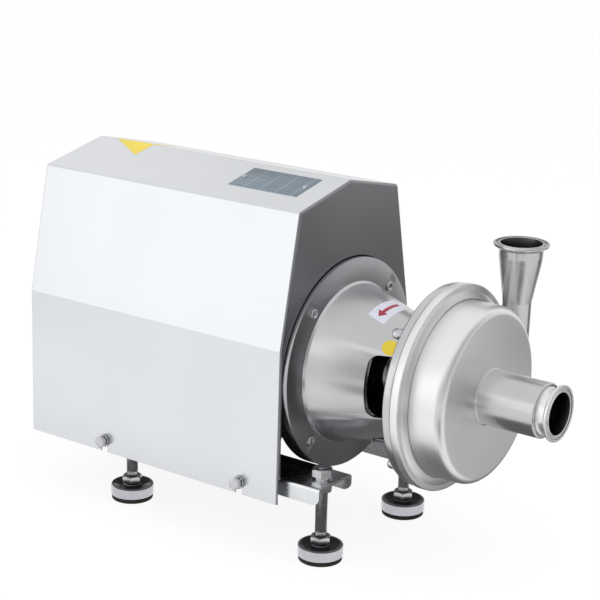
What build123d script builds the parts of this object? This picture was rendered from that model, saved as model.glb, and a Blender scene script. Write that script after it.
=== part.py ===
from build123d import *
import os
from math import cos, radians, sin

# Sanitary centrifugal pump with a hooded flange motor on two rails with levelling feet.
# Millimetres. X runs along the shaft towards the suction port, Z is up, the floor is at zero.

hex_sides = 6

# Gaps between pieces
slip_gap = 0.05  # radial, round turned seats and spigots
thread_gap = 0.1  # radial, round screws in their threads
seat_gap = 0.3  # between a loose or turning piece and its seat
shaft_gap = 1.0  # radial, where the turning shaft passes through a wall

# Base rails, two inverted channels
rail_top = 100.0
rail_width = 64.0
rail_height = 20.6
rail_sheet = 3.0
rail_bend_r = 4.0
rail_corner_r = 10.0
rail_spacing = 173.0
rail_length = 328.0
rail_reach = 43.5  # from the lantern's mounting face forward to the rail ends

# Levelling feet
foot_inset = 18.9
sole_r = 25.6
sole_thickness = 6.0
sole_edge = 1.0
cup_r = 26.6
cup_height = 13.0
cup_edge_r = 2.0
dish_r = 23.0
dish_depth = 4.5
dish_floor_r = 14.0
hub_r = 11.0
hub_rise = 0.2
stem_r = 7.0
stem_length = 105.3
stem_socket_depth = 10.0
stem_chamfer = 1.0
stem_nut_flats = 22.0
stem_nut_height = 10.0
stem_nut_turn = 30.0
stem_washer_r = 11.0
stem_washer_thickness = 2.5

# Motor, foot and flange mounted, frame size 112
motor_height = 112.0
motor_foot_span = 190.0
motor_foot_setback = 70.0
motor_foot_clearance = 47.6  # from the rear levelling feet forward to the motor's rear feet
motor_foot_length = 44.0
motor_foot_outer = 115.0
motor_foot_inner = 72.0
motor_foot_thickness = 14.0
motor_foot_web = 10.0
motor_foot_web_rise = 70.0
motor_foot_hole_r = 6.0
motor_flange_r = 125.0
motor_flange_thickness = 12.0
motor_spigot_r = 90.0
motor_spigot_length = 4.0
flange_bolt_circle_r = 107.5
flange_bolt_count = 4
flange_bolt_angle = 45.0
flange_bolt_hole_r = 7.25
shield_neck = 9.0
shield_wall = 8.0
shield_spigot = 8.0
shield_ring = 8.0
frame_bore_r = 88.0
frame_wall = 5.0
frame_length = 229.0
fin_height = 13.5
fin_thickness = 2.8
fin_count = 40
box_pad_rise = 4.0
box_length = 108.0
box_width = 98.0
box_height = 46.0
box_wall = 4.0
box_corner_r = 8.0
box_setback = 6.0
box_lid_height = 13.0
box_lid_overhang = 1.5
box_lid_edge_r = 4.0
gland_r = 12.0
gland_neck = 6.0
gland_cap = 16.0
gland_edge = 2.0
gland_bore_r = 6.5
gland_flats = 27.0
block_length = 66.0
block_width = 40.0
block_height = 16.0
block_stud_r = 2.5
block_stud_rise = 9.0
block_stud_pitch = 20.0
block_stud_columns = 3
block_stud_rows = 2
shaft_r = 14.0
shaft_length = 60.0
bearing_bore_r = 15.0
bearing_outer_r = 36.0
bearing_inner_ring = 7.0
bearing_outer_ring = 7.5
bearing_shield = 1.5
bearing_width = 19.0
bearing_housing_wall = 10.0
bearing_setback = 19.0
shaft_shoulder_r = 19.0
core_seat_r = 20.0
core_length = 120.0
core_setback = 80.0
stator_inner_r = 55.0
air_gap = 0.5
winding_reach = 22.0
winding_inner_r = 59.0
winding_outer_r = 84.0
winding_round_r = 6.0
fan_seat_r = 12.0
fan_hub_r = 22.0
fan_r = 88.0
fan_depth = 26.0
fan_disc = 3.0
fan_blade = 3.0
fan_blade_inset = 2.0
fan_blade_count = 8
fan_setback = 6.0
cowl_sheet = 2.0
cowl_overlap = 12.0
cowl_depth = 84.0
cowl_edge_r = 8.0
cowl_slot_count = 16
cowl_slot_width = 8.0
cowl_slot_inner_r = 34.0
cowl_slot_outer_r = 88.0
key_width = 8.0
key_height = 7.0
key_length = 40.0
key_sink = 4.0

# Lantern between motor and pump
lantern_flange_r = 125.0
lantern_flange_thickness = 8.0
lantern_recess_depth = 4.5
lantern_length = 133.0
lantern_wall = 6.0
cone_rear_r = 94.0
cone_front_r = 57.5
cone_bead = 2.6
front_flange_r = 118.0
front_flange_thickness = 10.3
front_flange_edge_r = 2.5
front_opening_r = 46.0
window_length = 43.0
window_height = 66.0
window_setback = 10.7
window_corner_r = 10.0

# Pump casing
casing_flange_r = 119.0
casing_flange_thickness = 13.6
casing_flange_edge = 0.8
drum_r = 101.8
drum_length = 41.4
drum_wall = 3.0
drum_edge_r = 9.5
drum_root_r = 1.7
back_plate_thickness = 12.0
back_plate_seat = 5.0
back_plate_inset = 0.8
o_ring_r = 1.5
o_ring_setback = 3.5

# Suction and discharge ports
port_r = 32.0
port_bore_r = 23.9
port_neck_r = 25.5
port_rim = 2.85
port_taper = 2.2
port_taper_r = 27.0
port_neck_length = 10.0
port_groove_r = 27.6
port_groove_width = 2.6
port_groove_depth = 1.2
suction_length = 87.8
suction_r = 31.5
suction_bore_r = 29.0
suction_shoulder = 9.0
suction_shoulder_r = 6.0
suction_bead = 1.2
nozzle_top = 368.2
nozzle_r = 15.6
nozzle_bore_r = 13.2
nozzle_inset = 2.2
nozzle_lean = 3.0  # how far the port stands outside the nozzle's foot
nozzle_cone_low = 300.0
nozzle_cone_high = 347.0
nozzle_root = 20.0

# Impeller, stub shaft and shaft seal
impeller_r = 88.0
impeller_disc = 4.0
impeller_setback = 16.0  # from the back plate to the impeller's disc
impeller_front_gap = 3.0
impeller_hub_r = 22.0
impeller_hub_length = 16.0
impeller_seat_r = 11.0
blade_count = 6
blade_thickness = 4.0
blade_inner_r = 30.0
blade_outer_depth = 14.0
blade_sweep = 74.0
blade_bow = 9.0
balance_hole_r = 4.0
balance_circle_r = 40.0
balance_angle = 40.0
impeller_nut_r = 15.0
impeller_nut_length = 18.0
impeller_nut_nose_r = 14.0
impeller_thread_r = 8.0
impeller_thread_length = 12.0
sleeve_r = 25.0
sleeve_start = 1.0
sleeve_end = 62.0
set_screw_r = 4.0
set_screw_setback = 14.0
set_screw_pitch = 20.0
stub_r = 17.0
seal_seat_r = 24.0
seal_seat_depth = 6.0
seal_seat_proud = 1.0
seal_ring_r = 22.5
seal_ring_width = 6.0
seal_face_gap = 0.1
spring_r = 21.0
spring_inner_r = 18.0
spring_turns = 3

# Hood, folded from one sheet
hood_setback = 6.1
hood_length = 387.8
hood_sheet = 1.5
hood_bottom = 72.2
hood_bottom_half = 131.0
hood_fold_height = 253.9
hood_fold_half = 128.3
hood_eave_height = 407.8
hood_eave_half = 97.0
hood_ridge = 429.0
hood_fold_r = 4.0
hood_edge_r = 3.0
arch_r = 127.5
arch_leg_gap = 0.5
arch_leg_end = 102.0
vent_width = 70.0
vent_height = 7.0
vent_columns = 2
vent_column_pitch = 86.0
vent_rows = 6
vent_row_pitch = 18.0
hood_screw_height = 86.5
hood_screw_front = 61.8
hood_screw_inset = 13.2  # from the rear ends of the rails
hood_slot_width = 9.4
boss_r = 6.5
boss_gap = 0.2
hood_screw_r = 4.0
hood_screw_flats = 13.0
hood_screw_head = 5.3
hood_washer_r = 8.0
hood_washer_thickness = 1.6
hood_spring_washer_r = 6.6
hood_spring_washer_thickness = 2.0
hood_washer_gap = 0.5

# Other fasteners
flange_bolt_r = 6.0
flange_bolt_flats = 19.0
flange_bolt_head = 7.5
flange_bolt_proud = 2.0
flange_bolt_dome = 1.8
foot_bolt_r = 5.0
foot_bolt_flats = 17.0
foot_bolt_head = 6.4
foot_bolt_nut = 8.0
foot_bolt_tail = 3.0
stud_r = 4.0
stud_circle_r = 107.0
stud_count = 4
stud_angle = 45.0
stud_depth = 9.0
stud_tail = 8.0
dome_nut_flats = 13.0
dome_nut_hex = 6.5
dome_nut_length = 15.0
dome_nut_dome_r = 6.2
dome_nut_tip_r = 5.0

# Stations along X, with the origin under the middle of the whole pump
inlet_reach = lantern_length + casing_flange_thickness + drum_length + suction_length
mount_x = (hood_setback + hood_length - inlet_reach) / 2
motor_x = mount_x - lantern_flange_thickness
frame_x = motor_x - motor_flange_thickness - shield_neck
frame_rear_x = frame_x - frame_length
joint_x = mount_x + lantern_length
casing_x = joint_x + casing_flange_thickness
drum_x = casing_x + drum_length
inlet_x = drum_x + suction_length
hood_x = mount_x - hood_setback
rail_x = mount_x + rail_reach
back_plate_x = joint_x - back_plate_seat
chamber_x = back_plate_x + back_plate_thickness
impeller_x = chamber_x + impeller_setback
axis_z = rail_top + motor_height
plate_under = rail_top - rail_sheet
stem_z = sole_thickness + cup_height + hub_rise - stem_socket_depth
foot_xs = (rail_x - foot_inset, rail_x - rail_length + foot_inset)
motor_foot_xs = (motor_x - motor_foot_setback, foot_xs[1] + motor_foot_clearance)
hood_screw_xs = (mount_x - hood_screw_front, rail_x - rail_length + hood_screw_inset)
frame_r = frame_bore_r + frame_wall
fin_r = frame_r + fin_height
front_bearing_x = motor_x - bearing_setback - bearing_width
rear_bearing_x = frame_rear_x + shield_spigot - shield_ring / 2 - bearing_width + shield_wall
front_core_x = motor_x - core_setback
rear_core_x = front_core_x - core_length
box_front_x = frame_x - box_setback
box_centre_x = box_front_x - box_length / 2
box_z = axis_z + fin_r + box_pad_rise
fan_x = rear_bearing_x - shield_wall - fan_setback
cowl_x = frame_rear_x + cowl_overlap
nozzle_x = (casing_x + drum_x) / 2 + drum_root_r
nozzle_y = drum_r - nozzle_r - nozzle_inset
port_y = nozzle_y + nozzle_lean
stud_head_x = joint_x - front_flange_thickness

shaft_plane = Plane(origin=(0, 0, axis_z), x_dir=(1, 0, 0), z_dir=(0, -1, 0))
shaft_axis = Axis((0, 0, axis_z), (1, 0, 0))


def across(station, side=0.0, height=axis_z):
    """Plane square to the shaft, with Y to the right and Z up."""
    return Plane(origin=(station, side, height), x_dir=(0, 1, 0), z_dir=(1, 0, 0))


def corner(profile, station, radius):
    """Corner of a sketched profile nearest to a station and a radius."""
    return profile.vertices().sort_by_distance((station, radius, 0))[0]


def hood_half_width(height):
    """Half width of the hood's outside at a height below its side folds."""
    lean = (hood_bottom_half - hood_fold_half) / (hood_fold_height - hood_bottom)
    return hood_bottom_half - lean * (height - hood_bottom)


def write(piece, label):
    """Name a finished piece and write its file."""
    piece.part.label = label
    export_step(piece.part, f"parts/{label}.step")


def make_ring(label, station, width, outer_r, inner_r):
    """Plain ring on the shaft line, from a station towards the suction port."""
    with BuildPart() as ring:
        with BuildSketch(across(station)):
            Circle(outer_r)
            Circle(inner_r, mode=Mode.SUBTRACT)
        extrude(amount=width)
    write(ring, label)


# Base


def make_rail(side, label):
    """Folded channel with foot holes, motor bolt holes and two welded hood bosses."""
    centre_y = side * rail_spacing / 2
    outer_y = (rail_spacing + rail_width) / 2
    boss_end = hood_half_width(hood_screw_height) - hood_sheet - boss_gap
    with BuildPart() as rail:
        with BuildSketch(across(rail_x - rail_length, centre_y, rail_top)) as section:
            Rectangle(rail_width, rail_height, align=(Align.CENTER, Align.MAX))
            fillet(section.vertices().group_by(Axis.Y)[-1], radius=rail_bend_r)
            with Locations((0, -rail_sheet)):
                Rectangle(
                    rail_width - 2 * rail_sheet,
                    rail_height,
                    align=(Align.CENTER, Align.MAX),
                    mode=Mode.SUBTRACT,
                )
        extrude(amount=rail_length)
        fillet(rail.edges().filter_by(Axis.Y).group_by(Axis.Z)[0], radius=rail_corner_r)
        with Locations([(x, centre_y, rail_top) for x in foot_xs]):
            Hole(radius=stem_r + seat_gap, depth=rail_sheet)
        with Locations([(x, side * motor_foot_span / 2, rail_top) for x in motor_foot_xs]):
            Hole(radius=motor_foot_hole_r, depth=rail_sheet)
        for x in hood_screw_xs:
            boss_face = Plane(
                origin=(x, side * boss_end, hood_screw_height), x_dir=(1, 0, 0), z_dir=(0, side, 0)
            )
            with BuildSketch(boss_face):
                Circle(boss_r)
            extrude(amount=outer_y - boss_end)
            with BuildSketch(boss_face):
                Circle(hood_screw_r + thread_gap)
            extrude(amount=outer_y - boss_end - rail_sheet, mode=Mode.SUBTRACT)
    write(rail, label)


def make_foot(x, side, name):
    """One levelling foot: stem, lock nut, pad cup and rubber sole."""
    y = side * rail_spacing / 2
    cup_top = sole_thickness + cup_height
    hub_top = cup_top + hub_rise
    upright = Plane(origin=(x, y, 0), x_dir=(1, 0, 0), z_dir=(0, -1, 0))
    centre = Axis((x, y, 0), (0, 0, 1))

    with BuildPart() as stem:
        with BuildSketch(Plane(origin=(x, y, stem_z))):
            Circle(stem_r)
        extrude(amount=stem_length)
        chamfer(stem.edges().filter_by(GeomType.CIRCLE), length=stem_chamfer)
    write(stem, f"foot_{name}_stem")

    with BuildPart() as lock_nut:
        with BuildSketch(Plane(origin=(x, y, hub_top + seat_gap))):
            RegularPolygon(stem_nut_flats / 2, hex_sides, major_radius=False, rotation=stem_nut_turn)
            Circle(stem_r + thread_gap, mode=Mode.SUBTRACT)
        extrude(amount=stem_nut_height)
    write(lock_nut, f"foot_{name}_lock_nut")

    with BuildPart() as cup:
        with BuildSketch(upright) as profile:
            Polygon(
                (0, sole_thickness),
                (cup_r, sole_thickness),
                (cup_r, cup_top),
                (dish_r, cup_top),
                (dish_floor_r, cup_top - dish_depth),
                (hub_r, cup_top - dish_depth),
                (hub_r, hub_top),
                (stem_r + seat_gap, hub_top),
                (stem_r + seat_gap, stem_z - seat_gap),
                (0, stem_z - seat_gap),
                align=None,
            )
            fillet(corner(profile, cup_r, cup_top), radius=cup_edge_r)
        revolve(axis=centre)
    write(cup, f"foot_{name}_cup")

    with BuildPart() as sole:
        with BuildSketch(Plane(origin=(x, y, 0))):
            Circle(sole_r)
        extrude(amount=sole_thickness)
        chamfer(sole.edges().group_by(Axis.Z)[0], length=sole_edge)
    write(sole, f"foot_{name}_sole")


def make_foot_nuts(label, washer_z, direction):
    """Washer and nut of each stem, above or below the rail plates."""
    places = [(x, side * rail_spacing / 2) for x in foot_xs for side in (-1, 1)]
    with BuildPart() as nuts:
        for x, y in places:
            with BuildSketch(Plane(origin=(x, y, washer_z))):
                Circle(stem_washer_r)
                Circle(stem_r + thread_gap, mode=Mode.SUBTRACT)
            extrude(amount=direction * stem_washer_thickness)
            with BuildSketch(Plane(origin=(x, y, washer_z + direction * stem_washer_thickness))):
                RegularPolygon(stem_nut_flats / 2, hex_sides, major_radius=False, rotation=stem_nut_turn)
                Circle(stem_r + thread_gap, mode=Mode.SUBTRACT)
            extrude(amount=direction * stem_nut_height)
    write(nuts, label)


# Motor


def make_motor_frame():
    """Finned barrel with four feet and the pad of the terminal box."""
    foot_plane_z = -motor_height
    with BuildPart() as frame:
        with BuildSketch(across(frame_rear_x)):
            Circle(frame_r)
            with PolarLocations(frame_r, fin_count):
                Rectangle(2 * fin_height, fin_thickness)
            Circle(fin_r, mode=Mode.INTERSECT)
        extrude(amount=frame_length)
        for x in motor_foot_xs:
            with BuildSketch(across(x - motor_foot_length / 2)):
                for side in (-1, 1):
                    Polygon(
                        (side * motor_foot_inner, foot_plane_z),
                        (side * motor_foot_outer, foot_plane_z),
                        (side * motor_foot_outer, foot_plane_z + motor_foot_thickness),
                        (side * (motor_foot_inner + motor_foot_web),
                         foot_plane_z + motor_foot_thickness),
                        (side * motor_foot_inner, foot_plane_z + motor_foot_web_rise),
                        (side * frame_r / 2, foot_plane_z + motor_foot_web_rise / 2),
                        align=None,
                    )
            extrude(amount=motor_foot_length)
        with BuildSketch(Plane(origin=(box_centre_x, 0, axis_z + frame_bore_r))):
            RectangleRounded(box_length, box_width, box_corner_r)
        extrude(amount=box_z - axis_z - frame_bore_r)
        with BuildSketch(across(frame_rear_x)):
            Circle(frame_bore_r)
        extrude(amount=frame_length, mode=Mode.SUBTRACT)
        foot_top = rail_top + motor_foot_thickness
        with Locations([(x, s * motor_foot_span / 2, foot_top)
                        for x in motor_foot_xs for s in (-1, 1)]):
            Hole(radius=motor_foot_hole_r, depth=motor_foot_thickness)
    write(frame, "motor_frame")


def make_front_shield():
    """Flanged end shield with its spigot and the front bearing housing."""
    shield_x = motor_x - motor_flange_thickness
    housing_r = bearing_outer_r + bearing_housing_wall
    rim_r = frame_bore_r - shield_wall
    with BuildPart() as shield:
        with BuildSketch(shaft_plane):
            Polygon(
                (motor_x + motor_spigot_length, bearing_bore_r + shaft_gap),
                (motor_x + motor_spigot_length, motor_spigot_r),
                (motor_x, motor_spigot_r),
                (motor_x, motor_flange_r),
                (shield_x, motor_flange_r),
                (shield_x, frame_r),
                (frame_x, frame_r),
                (frame_x, frame_bore_r - slip_gap),
                (frame_x - shield_spigot, frame_bore_r - slip_gap),
                (frame_x - shield_spigot, rim_r),
                (shield_x, rim_r),
                (shield_x, housing_r),
                (front_bearing_x, housing_r),
                (front_bearing_x, bearing_outer_r + slip_gap),
                (front_bearing_x + bearing_width, bearing_outer_r + slip_gap),
                (front_bearing_x + bearing_width, bearing_bore_r + shaft_gap),
                align=None,
            )
        revolve(axis=shaft_axis)
        with BuildSketch(across(shield_x)):
            with PolarLocations(flange_bolt_circle_r, flange_bolt_count, flange_bolt_angle):
                Circle(flange_bolt_hole_r)
        extrude(amount=motor_flange_thickness, mode=Mode.SUBTRACT)
    write(shield, "motor_front_shield")


def make_rear_shield():
    """Rear end shield with the rear bearing housing."""
    housing_r = bearing_outer_r + bearing_housing_wall
    rim_r = frame_bore_r - shield_wall
    back_x = frame_rear_x - shield_ring
    with BuildPart() as shield:
        with BuildSketch(shaft_plane):
            Polygon(
                (frame_rear_x + shield_spigot, rim_r),
                (frame_rear_x + shield_spigot, frame_bore_r - slip_gap),
                (frame_rear_x, frame_bore_r - slip_gap),
                (frame_rear_x, frame_r),
                (back_x, frame_r),
                (back_x, housing_r),
                (rear_bearing_x - shield_wall, housing_r),
                (rear_bearing_x - shield_wall, fan_seat_r + shaft_gap),
                (rear_bearing_x, fan_seat_r + shaft_gap),
                (rear_bearing_x, bearing_outer_r + slip_gap),
                (rear_bearing_x + bearing_width, bearing_outer_r + slip_gap),
                (rear_bearing_x + bearing_width, housing_r),
                (frame_rear_x, housing_r),
                (frame_rear_x, rim_r),
                align=None,
            )
        revolve(axis=shaft_axis)
    write(shield, "motor_rear_shield")


def make_windings():
    """Winding heads at both ends of the stator core."""
    with BuildPart() as windings:
        for start, direction in ((front_core_x, 1), (rear_core_x, -1)):
            with BuildSketch(across(start)):
                Circle(winding_outer_r)
                Circle(winding_inner_r, mode=Mode.SUBTRACT)
            extrude(amount=direction * winding_reach)
        ends = windings.edges().filter_by(GeomType.CIRCLE).group_by(Axis.X)
        fillet(ends[0] + ends[-1], radius=winding_round_r)
    write(windings, "stator_windings")


def make_fan_cowl():
    """Sheet cowl over the fan, with radial air slots in its end."""
    end_x = cowl_x - cowl_depth - cowl_overlap
    inner_r = fin_r + seat_gap
    with BuildPart() as cowl:
        with BuildSketch(across(end_x)):
            Circle(inner_r + cowl_sheet)
        extrude(amount=cowl_depth + cowl_overlap)
        fillet(cowl.edges().group_by(Axis.X)[0], radius=cowl_edge_r)
        with BuildSketch(shaft_plane) as hollow:
            Polygon(
                (end_x + cowl_sheet, 0),
                (end_x + cowl_sheet, inner_r),
                (cowl_x, inner_r),
                (cowl_x, 0),
                align=None,
            )
            fillet(corner(hollow, end_x + cowl_sheet, inner_r), radius=cowl_edge_r - cowl_sheet)
        revolve(axis=shaft_axis, mode=Mode.SUBTRACT)
        with BuildSketch(across(end_x)):
            with PolarLocations((cowl_slot_inner_r + cowl_slot_outer_r) / 2, cowl_slot_count):
                SlotOverall(cowl_slot_outer_r - cowl_slot_inner_r, cowl_slot_width)
        extrude(amount=cowl_sheet, mode=Mode.SUBTRACT)
    write(cowl, "fan_cowl")


def make_terminal_box():
    """Open box with a cable entry, its lid, the terminal block and the gland."""
    gland_z = box_z + box_height / 2
    side_y = box_width / 2
    with BuildPart() as box:
        with BuildSketch(Plane(origin=(box_centre_x, 0, box_z))):
            RectangleRounded(box_length, box_width, box_corner_r)
        extrude(amount=box_height)
        with BuildSketch(Plane(origin=(box_centre_x, 0, box_z + box_wall))):
            RectangleRounded(
                box_length - 2 * box_wall, box_width - 2 * box_wall, box_corner_r - box_wall
            )
        extrude(amount=box_height, mode=Mode.SUBTRACT)
        with BuildSketch(Plane(origin=(box_centre_x, side_y, gland_z), x_dir=(1, 0, 0),
                               z_dir=(0, 1, 0))):
            Circle(gland_bore_r)
        extrude(amount=-box_wall, mode=Mode.SUBTRACT)
    write(box, "terminal_box")

    with BuildPart() as lid:
        with BuildSketch(Plane(origin=(box_centre_x, 0, box_z + box_height))):
            RectangleRounded(
                box_length + 2 * box_lid_overhang,
                box_width + 2 * box_lid_overhang,
                box_corner_r + box_lid_overhang,
            )
        extrude(amount=box_lid_height)
        fillet(lid.edges().group_by(Axis.Z)[-1], radius=box_lid_edge_r)
    write(lid, "terminal_box_lid")

    with BuildPart() as gland:
        outward = Plane(origin=(box_centre_x, side_y, gland_z), x_dir=(1, 0, 0), z_dir=(0, 1, 0))
        with BuildSketch(outward):
            Circle(gland_r)
        extrude(amount=gland_neck)
        with BuildSketch(outward.offset(gland_neck)):
            RegularPolygon(gland_flats / 2, hex_sides, major_radius=False)
        extrude(amount=gland_cap)
        chamfer(gland.edges().group_by(Axis.Y)[-1], length=gland_edge)
        with BuildSketch(outward):
            Circle(gland_bore_r)
        extrude(amount=gland_neck + gland_cap, mode=Mode.SUBTRACT)
    write(gland, "cable_gland")

    with BuildPart() as block:
        with BuildSketch(Plane(origin=(box_centre_x, 0, box_z + box_wall))):
            Rectangle(block_length, block_width)
        extrude(amount=block_height)
        with BuildSketch(Plane(origin=(box_centre_x, 0, box_z + box_wall + block_height))):
            with GridLocations(block_stud_pitch, block_stud_pitch,
                               block_stud_columns, block_stud_rows):
                Circle(block_stud_r)
        extrude(amount=block_stud_rise)
    write(block, "terminal_block")


def make_bearing_outer(label, station):
    """Outer bearing ring with its two dust shields."""
    ring_r = bearing_outer_r - bearing_outer_ring
    shield_r = bearing_bore_r + bearing_inner_ring + seat_gap
    end_x = station + bearing_width
    with BuildPart() as bearing:
        with BuildSketch(shaft_plane):
            Polygon(
                (station, shield_r),
                (station, bearing_outer_r),
                (end_x, bearing_outer_r),
                (end_x, shield_r),
                (end_x - bearing_shield, shield_r),
                (end_x - bearing_shield, ring_r),
                (station + bearing_shield, ring_r),
                (station + bearing_shield, shield_r),
                align=None,
            )
        revolve(axis=shaft_axis)
    write(bearing, label)


def make_motor_shaft():
    """Stepped shaft with a keyway in its front end."""
    nose_x = motor_x + shaft_length
    tail_x = fan_x - fan_depth
    front_seat_x = front_bearing_x
    rear_seat_x = rear_bearing_x + bearing_width
    with BuildPart() as shaft:
        with BuildSketch(shaft_plane):
            Polygon(
                (nose_x, 0),
                (nose_x, shaft_r),
                (motor_x, shaft_r),
                (motor_x, bearing_bore_r),
                (front_seat_x, bearing_bore_r),
                (front_seat_x, shaft_shoulder_r),
                (front_core_x, shaft_shoulder_r),
                (front_core_x, core_seat_r),
                (rear_core_x, core_seat_r),
                (rear_core_x, shaft_shoulder_r),
                (rear_seat_x, shaft_shoulder_r),
                (rear_seat_x, bearing_bore_r),
                (rear_bearing_x, bearing_bore_r),
                (rear_bearing_x, fan_seat_r),
                (tail_x, fan_seat_r),
                (tail_x, 0),
                align=None,
            )
        revolve(axis=shaft_axis)
        chamfer(shaft.edges().group_by(Axis.X)[-1], length=stem_chamfer)
        with BuildSketch(Plane(origin=(nose_x, 0, axis_z + shaft_r - key_sink))):
            Rectangle(
                key_length + shaft_gap, key_width + 2 * slip_gap, align=(Align.MAX, Align.CENTER)
            )
        extrude(amount=key_sink, mode=Mode.SUBTRACT)
    write(shaft, "motor_shaft")

    with BuildPart() as key:
        with BuildSketch(Plane(origin=(nose_x, 0, axis_z + shaft_r - key_sink + slip_gap))):
            Rectangle(key_length, key_width, align=(Align.MAX, Align.CENTER))
        extrude(amount=key_height - 2 * slip_gap)
    write(key, "shaft_key")


def make_cooling_fan():
    """Radial fan: hub, disc and straight blades."""
    with BuildPart() as fan:
        with BuildSketch(across(fan_x)):
            Circle(fan_hub_r)
        extrude(amount=-fan_depth)
        with BuildSketch(across(fan_x)):
            Circle(fan_r)
        extrude(amount=-fan_disc)
        with BuildSketch(across(fan_x)):
            with PolarLocations((fan_hub_r + fan_r) / 2 - fan_blade_inset, fan_blade_count):
                Rectangle(fan_r - fan_hub_r, fan_blade)
        extrude(amount=-fan_depth)
        with BuildSketch(across(fan_x)):
            Circle(fan_seat_r + slip_gap)
        extrude(amount=-fan_depth, mode=Mode.SUBTRACT)
    write(fan, "cooling_fan")


# Lantern


def make_lantern():
    """Conical lantern with a mounting flange, two side windows and a front flange."""
    cone_end_x = joint_x - front_flange_thickness
    recess_x = motor_x + lantern_recess_depth
    with BuildPart() as lantern:
        with BuildSketch(shaft_plane) as profile:
            Polygon(
                (motor_x, motor_spigot_r + slip_gap),
                (motor_x, lantern_flange_r),
                (mount_x, lantern_flange_r),
                (mount_x, cone_rear_r + cone_bead),
                (mount_x + cone_bead, cone_rear_r),
                (cone_end_x, cone_front_r),
                (cone_end_x, front_flange_r),
                (joint_x, front_flange_r),
                (joint_x, drum_r - drum_wall - back_plate_inset + slip_gap),
                (back_plate_x, drum_r - drum_wall - back_plate_inset + slip_gap),
                (back_plate_x, front_opening_r),
                (cone_end_x, front_opening_r),
                (cone_end_x, cone_front_r - lantern_wall),
                (recess_x, cone_rear_r - lantern_wall),
                (recess_x, motor_spigot_r + slip_gap),
                align=None,
            )
            fillet(corner(profile, cone_end_x, front_flange_r), radius=front_flange_edge_r)
        revolve(axis=shaft_axis)
        window_x = cone_end_x - window_setback - window_length / 2
        with BuildSketch(Plane(origin=(window_x, 0, axis_z), x_dir=(1, 0, 0), z_dir=(0, -1, 0))):
            RectangleRounded(window_length, window_height, window_corner_r)
        extrude(amount=cone_rear_r, both=True, mode=Mode.SUBTRACT)
        with BuildSketch(across(motor_x)):
            with PolarLocations(flange_bolt_circle_r, flange_bolt_count, flange_bolt_angle):
                Circle(flange_bolt_r + thread_gap)
        extrude(amount=lantern_flange_thickness, mode=Mode.SUBTRACT)
        with BuildSketch(across(cone_end_x)):
            with PolarLocations(stud_circle_r, stud_count, stud_angle):
                Circle(stud_r + thread_gap)
        extrude(amount=front_flange_thickness, mode=Mode.SUBTRACT)
    write(lantern, "adapter_lantern")


def make_flange_bolts():
    """Four bolts from the motor side, their domed ends just through the lantern's flange."""
    head_x = motor_x - motor_flange_thickness
    end_x = mount_x + flange_bolt_proud
    with BuildPart() as bolts:
        with BuildSketch(across(head_x)):
            with PolarLocations(flange_bolt_circle_r, flange_bolt_count, flange_bolt_angle):
                RegularPolygon(flange_bolt_flats / 2, hex_sides, major_radius=False)
        extrude(amount=-flange_bolt_head)
        with BuildSketch(across(head_x)):
            with PolarLocations(flange_bolt_circle_r, flange_bolt_count, flange_bolt_angle):
                Circle(flange_bolt_r)
        extrude(amount=end_x - head_x)
        fillet(bolts.edges().group_by(Axis.X)[-1], radius=flange_bolt_dome)
    write(bolts, "flange_bolts")


def make_foot_bolts():
    """Four bolts and nuts that hold the motor feet on the rails."""
    places = [(x, s * motor_foot_span / 2) for x in motor_foot_xs for s in (-1, 1)]
    foot_top = rail_top + motor_foot_thickness
    shank_end = plate_under - foot_bolt_nut - foot_bolt_tail
    with BuildPart() as bolts:
        with BuildSketch(Plane.XY.offset(foot_top)):
            with Locations(places):
                RegularPolygon(foot_bolt_flats / 2, hex_sides, major_radius=False)
        extrude(amount=foot_bolt_head)
        with BuildSketch(Plane.XY.offset(plate_under)):
            with Locations(places):
                RegularPolygon(foot_bolt_flats / 2, hex_sides, major_radius=False)
        extrude(amount=-foot_bolt_nut)
        with BuildSketch(Plane.XY.offset(shank_end)):
            with Locations(places):
                Circle(foot_bolt_r)
        extrude(amount=foot_top - shank_end)
    write(bolts, "foot_bolts")


# Pump


def make_back_plate():
    """Pump cover in the lantern's front recess, with the seal seat's bore and a ring groove."""
    plate_r = drum_r - drum_wall - back_plate_inset
    groove_x = joint_x + o_ring_setback
    groove_half = o_ring_r + slip_gap
    groove_r = drum_r - drum_wall - 2 * (o_ring_r + slip_gap)
    seat_x = chamber_x - seal_seat_depth
    with BuildPart() as plate:
        with BuildSketch(shaft_plane):
            Polygon(
                (back_plate_x, stub_r + shaft_gap),
                (back_plate_x, plate_r),
                (groove_x - groove_half, plate_r),
                (groove_x - groove_half, groove_r),
                (groove_x + groove_half, groove_r),
                (groove_x + groove_half, plate_r),
                (chamber_x, plate_r),
                (chamber_x, seal_seat_r + slip_gap),
                (seat_x, seal_seat_r + slip_gap),
                (seat_x, stub_r + shaft_gap),
                align=None,
            )
        revolve(axis=shaft_axis)
    write(plate, "back_plate")

    with BuildPart() as o_ring:
        with BuildSketch(shaft_plane):
            with Locations((groove_x, groove_r + slip_gap + o_ring_r)):
                Circle(o_ring_r)
        revolve(axis=shaft_axis)
    write(o_ring, "casing_o_ring")


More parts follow.
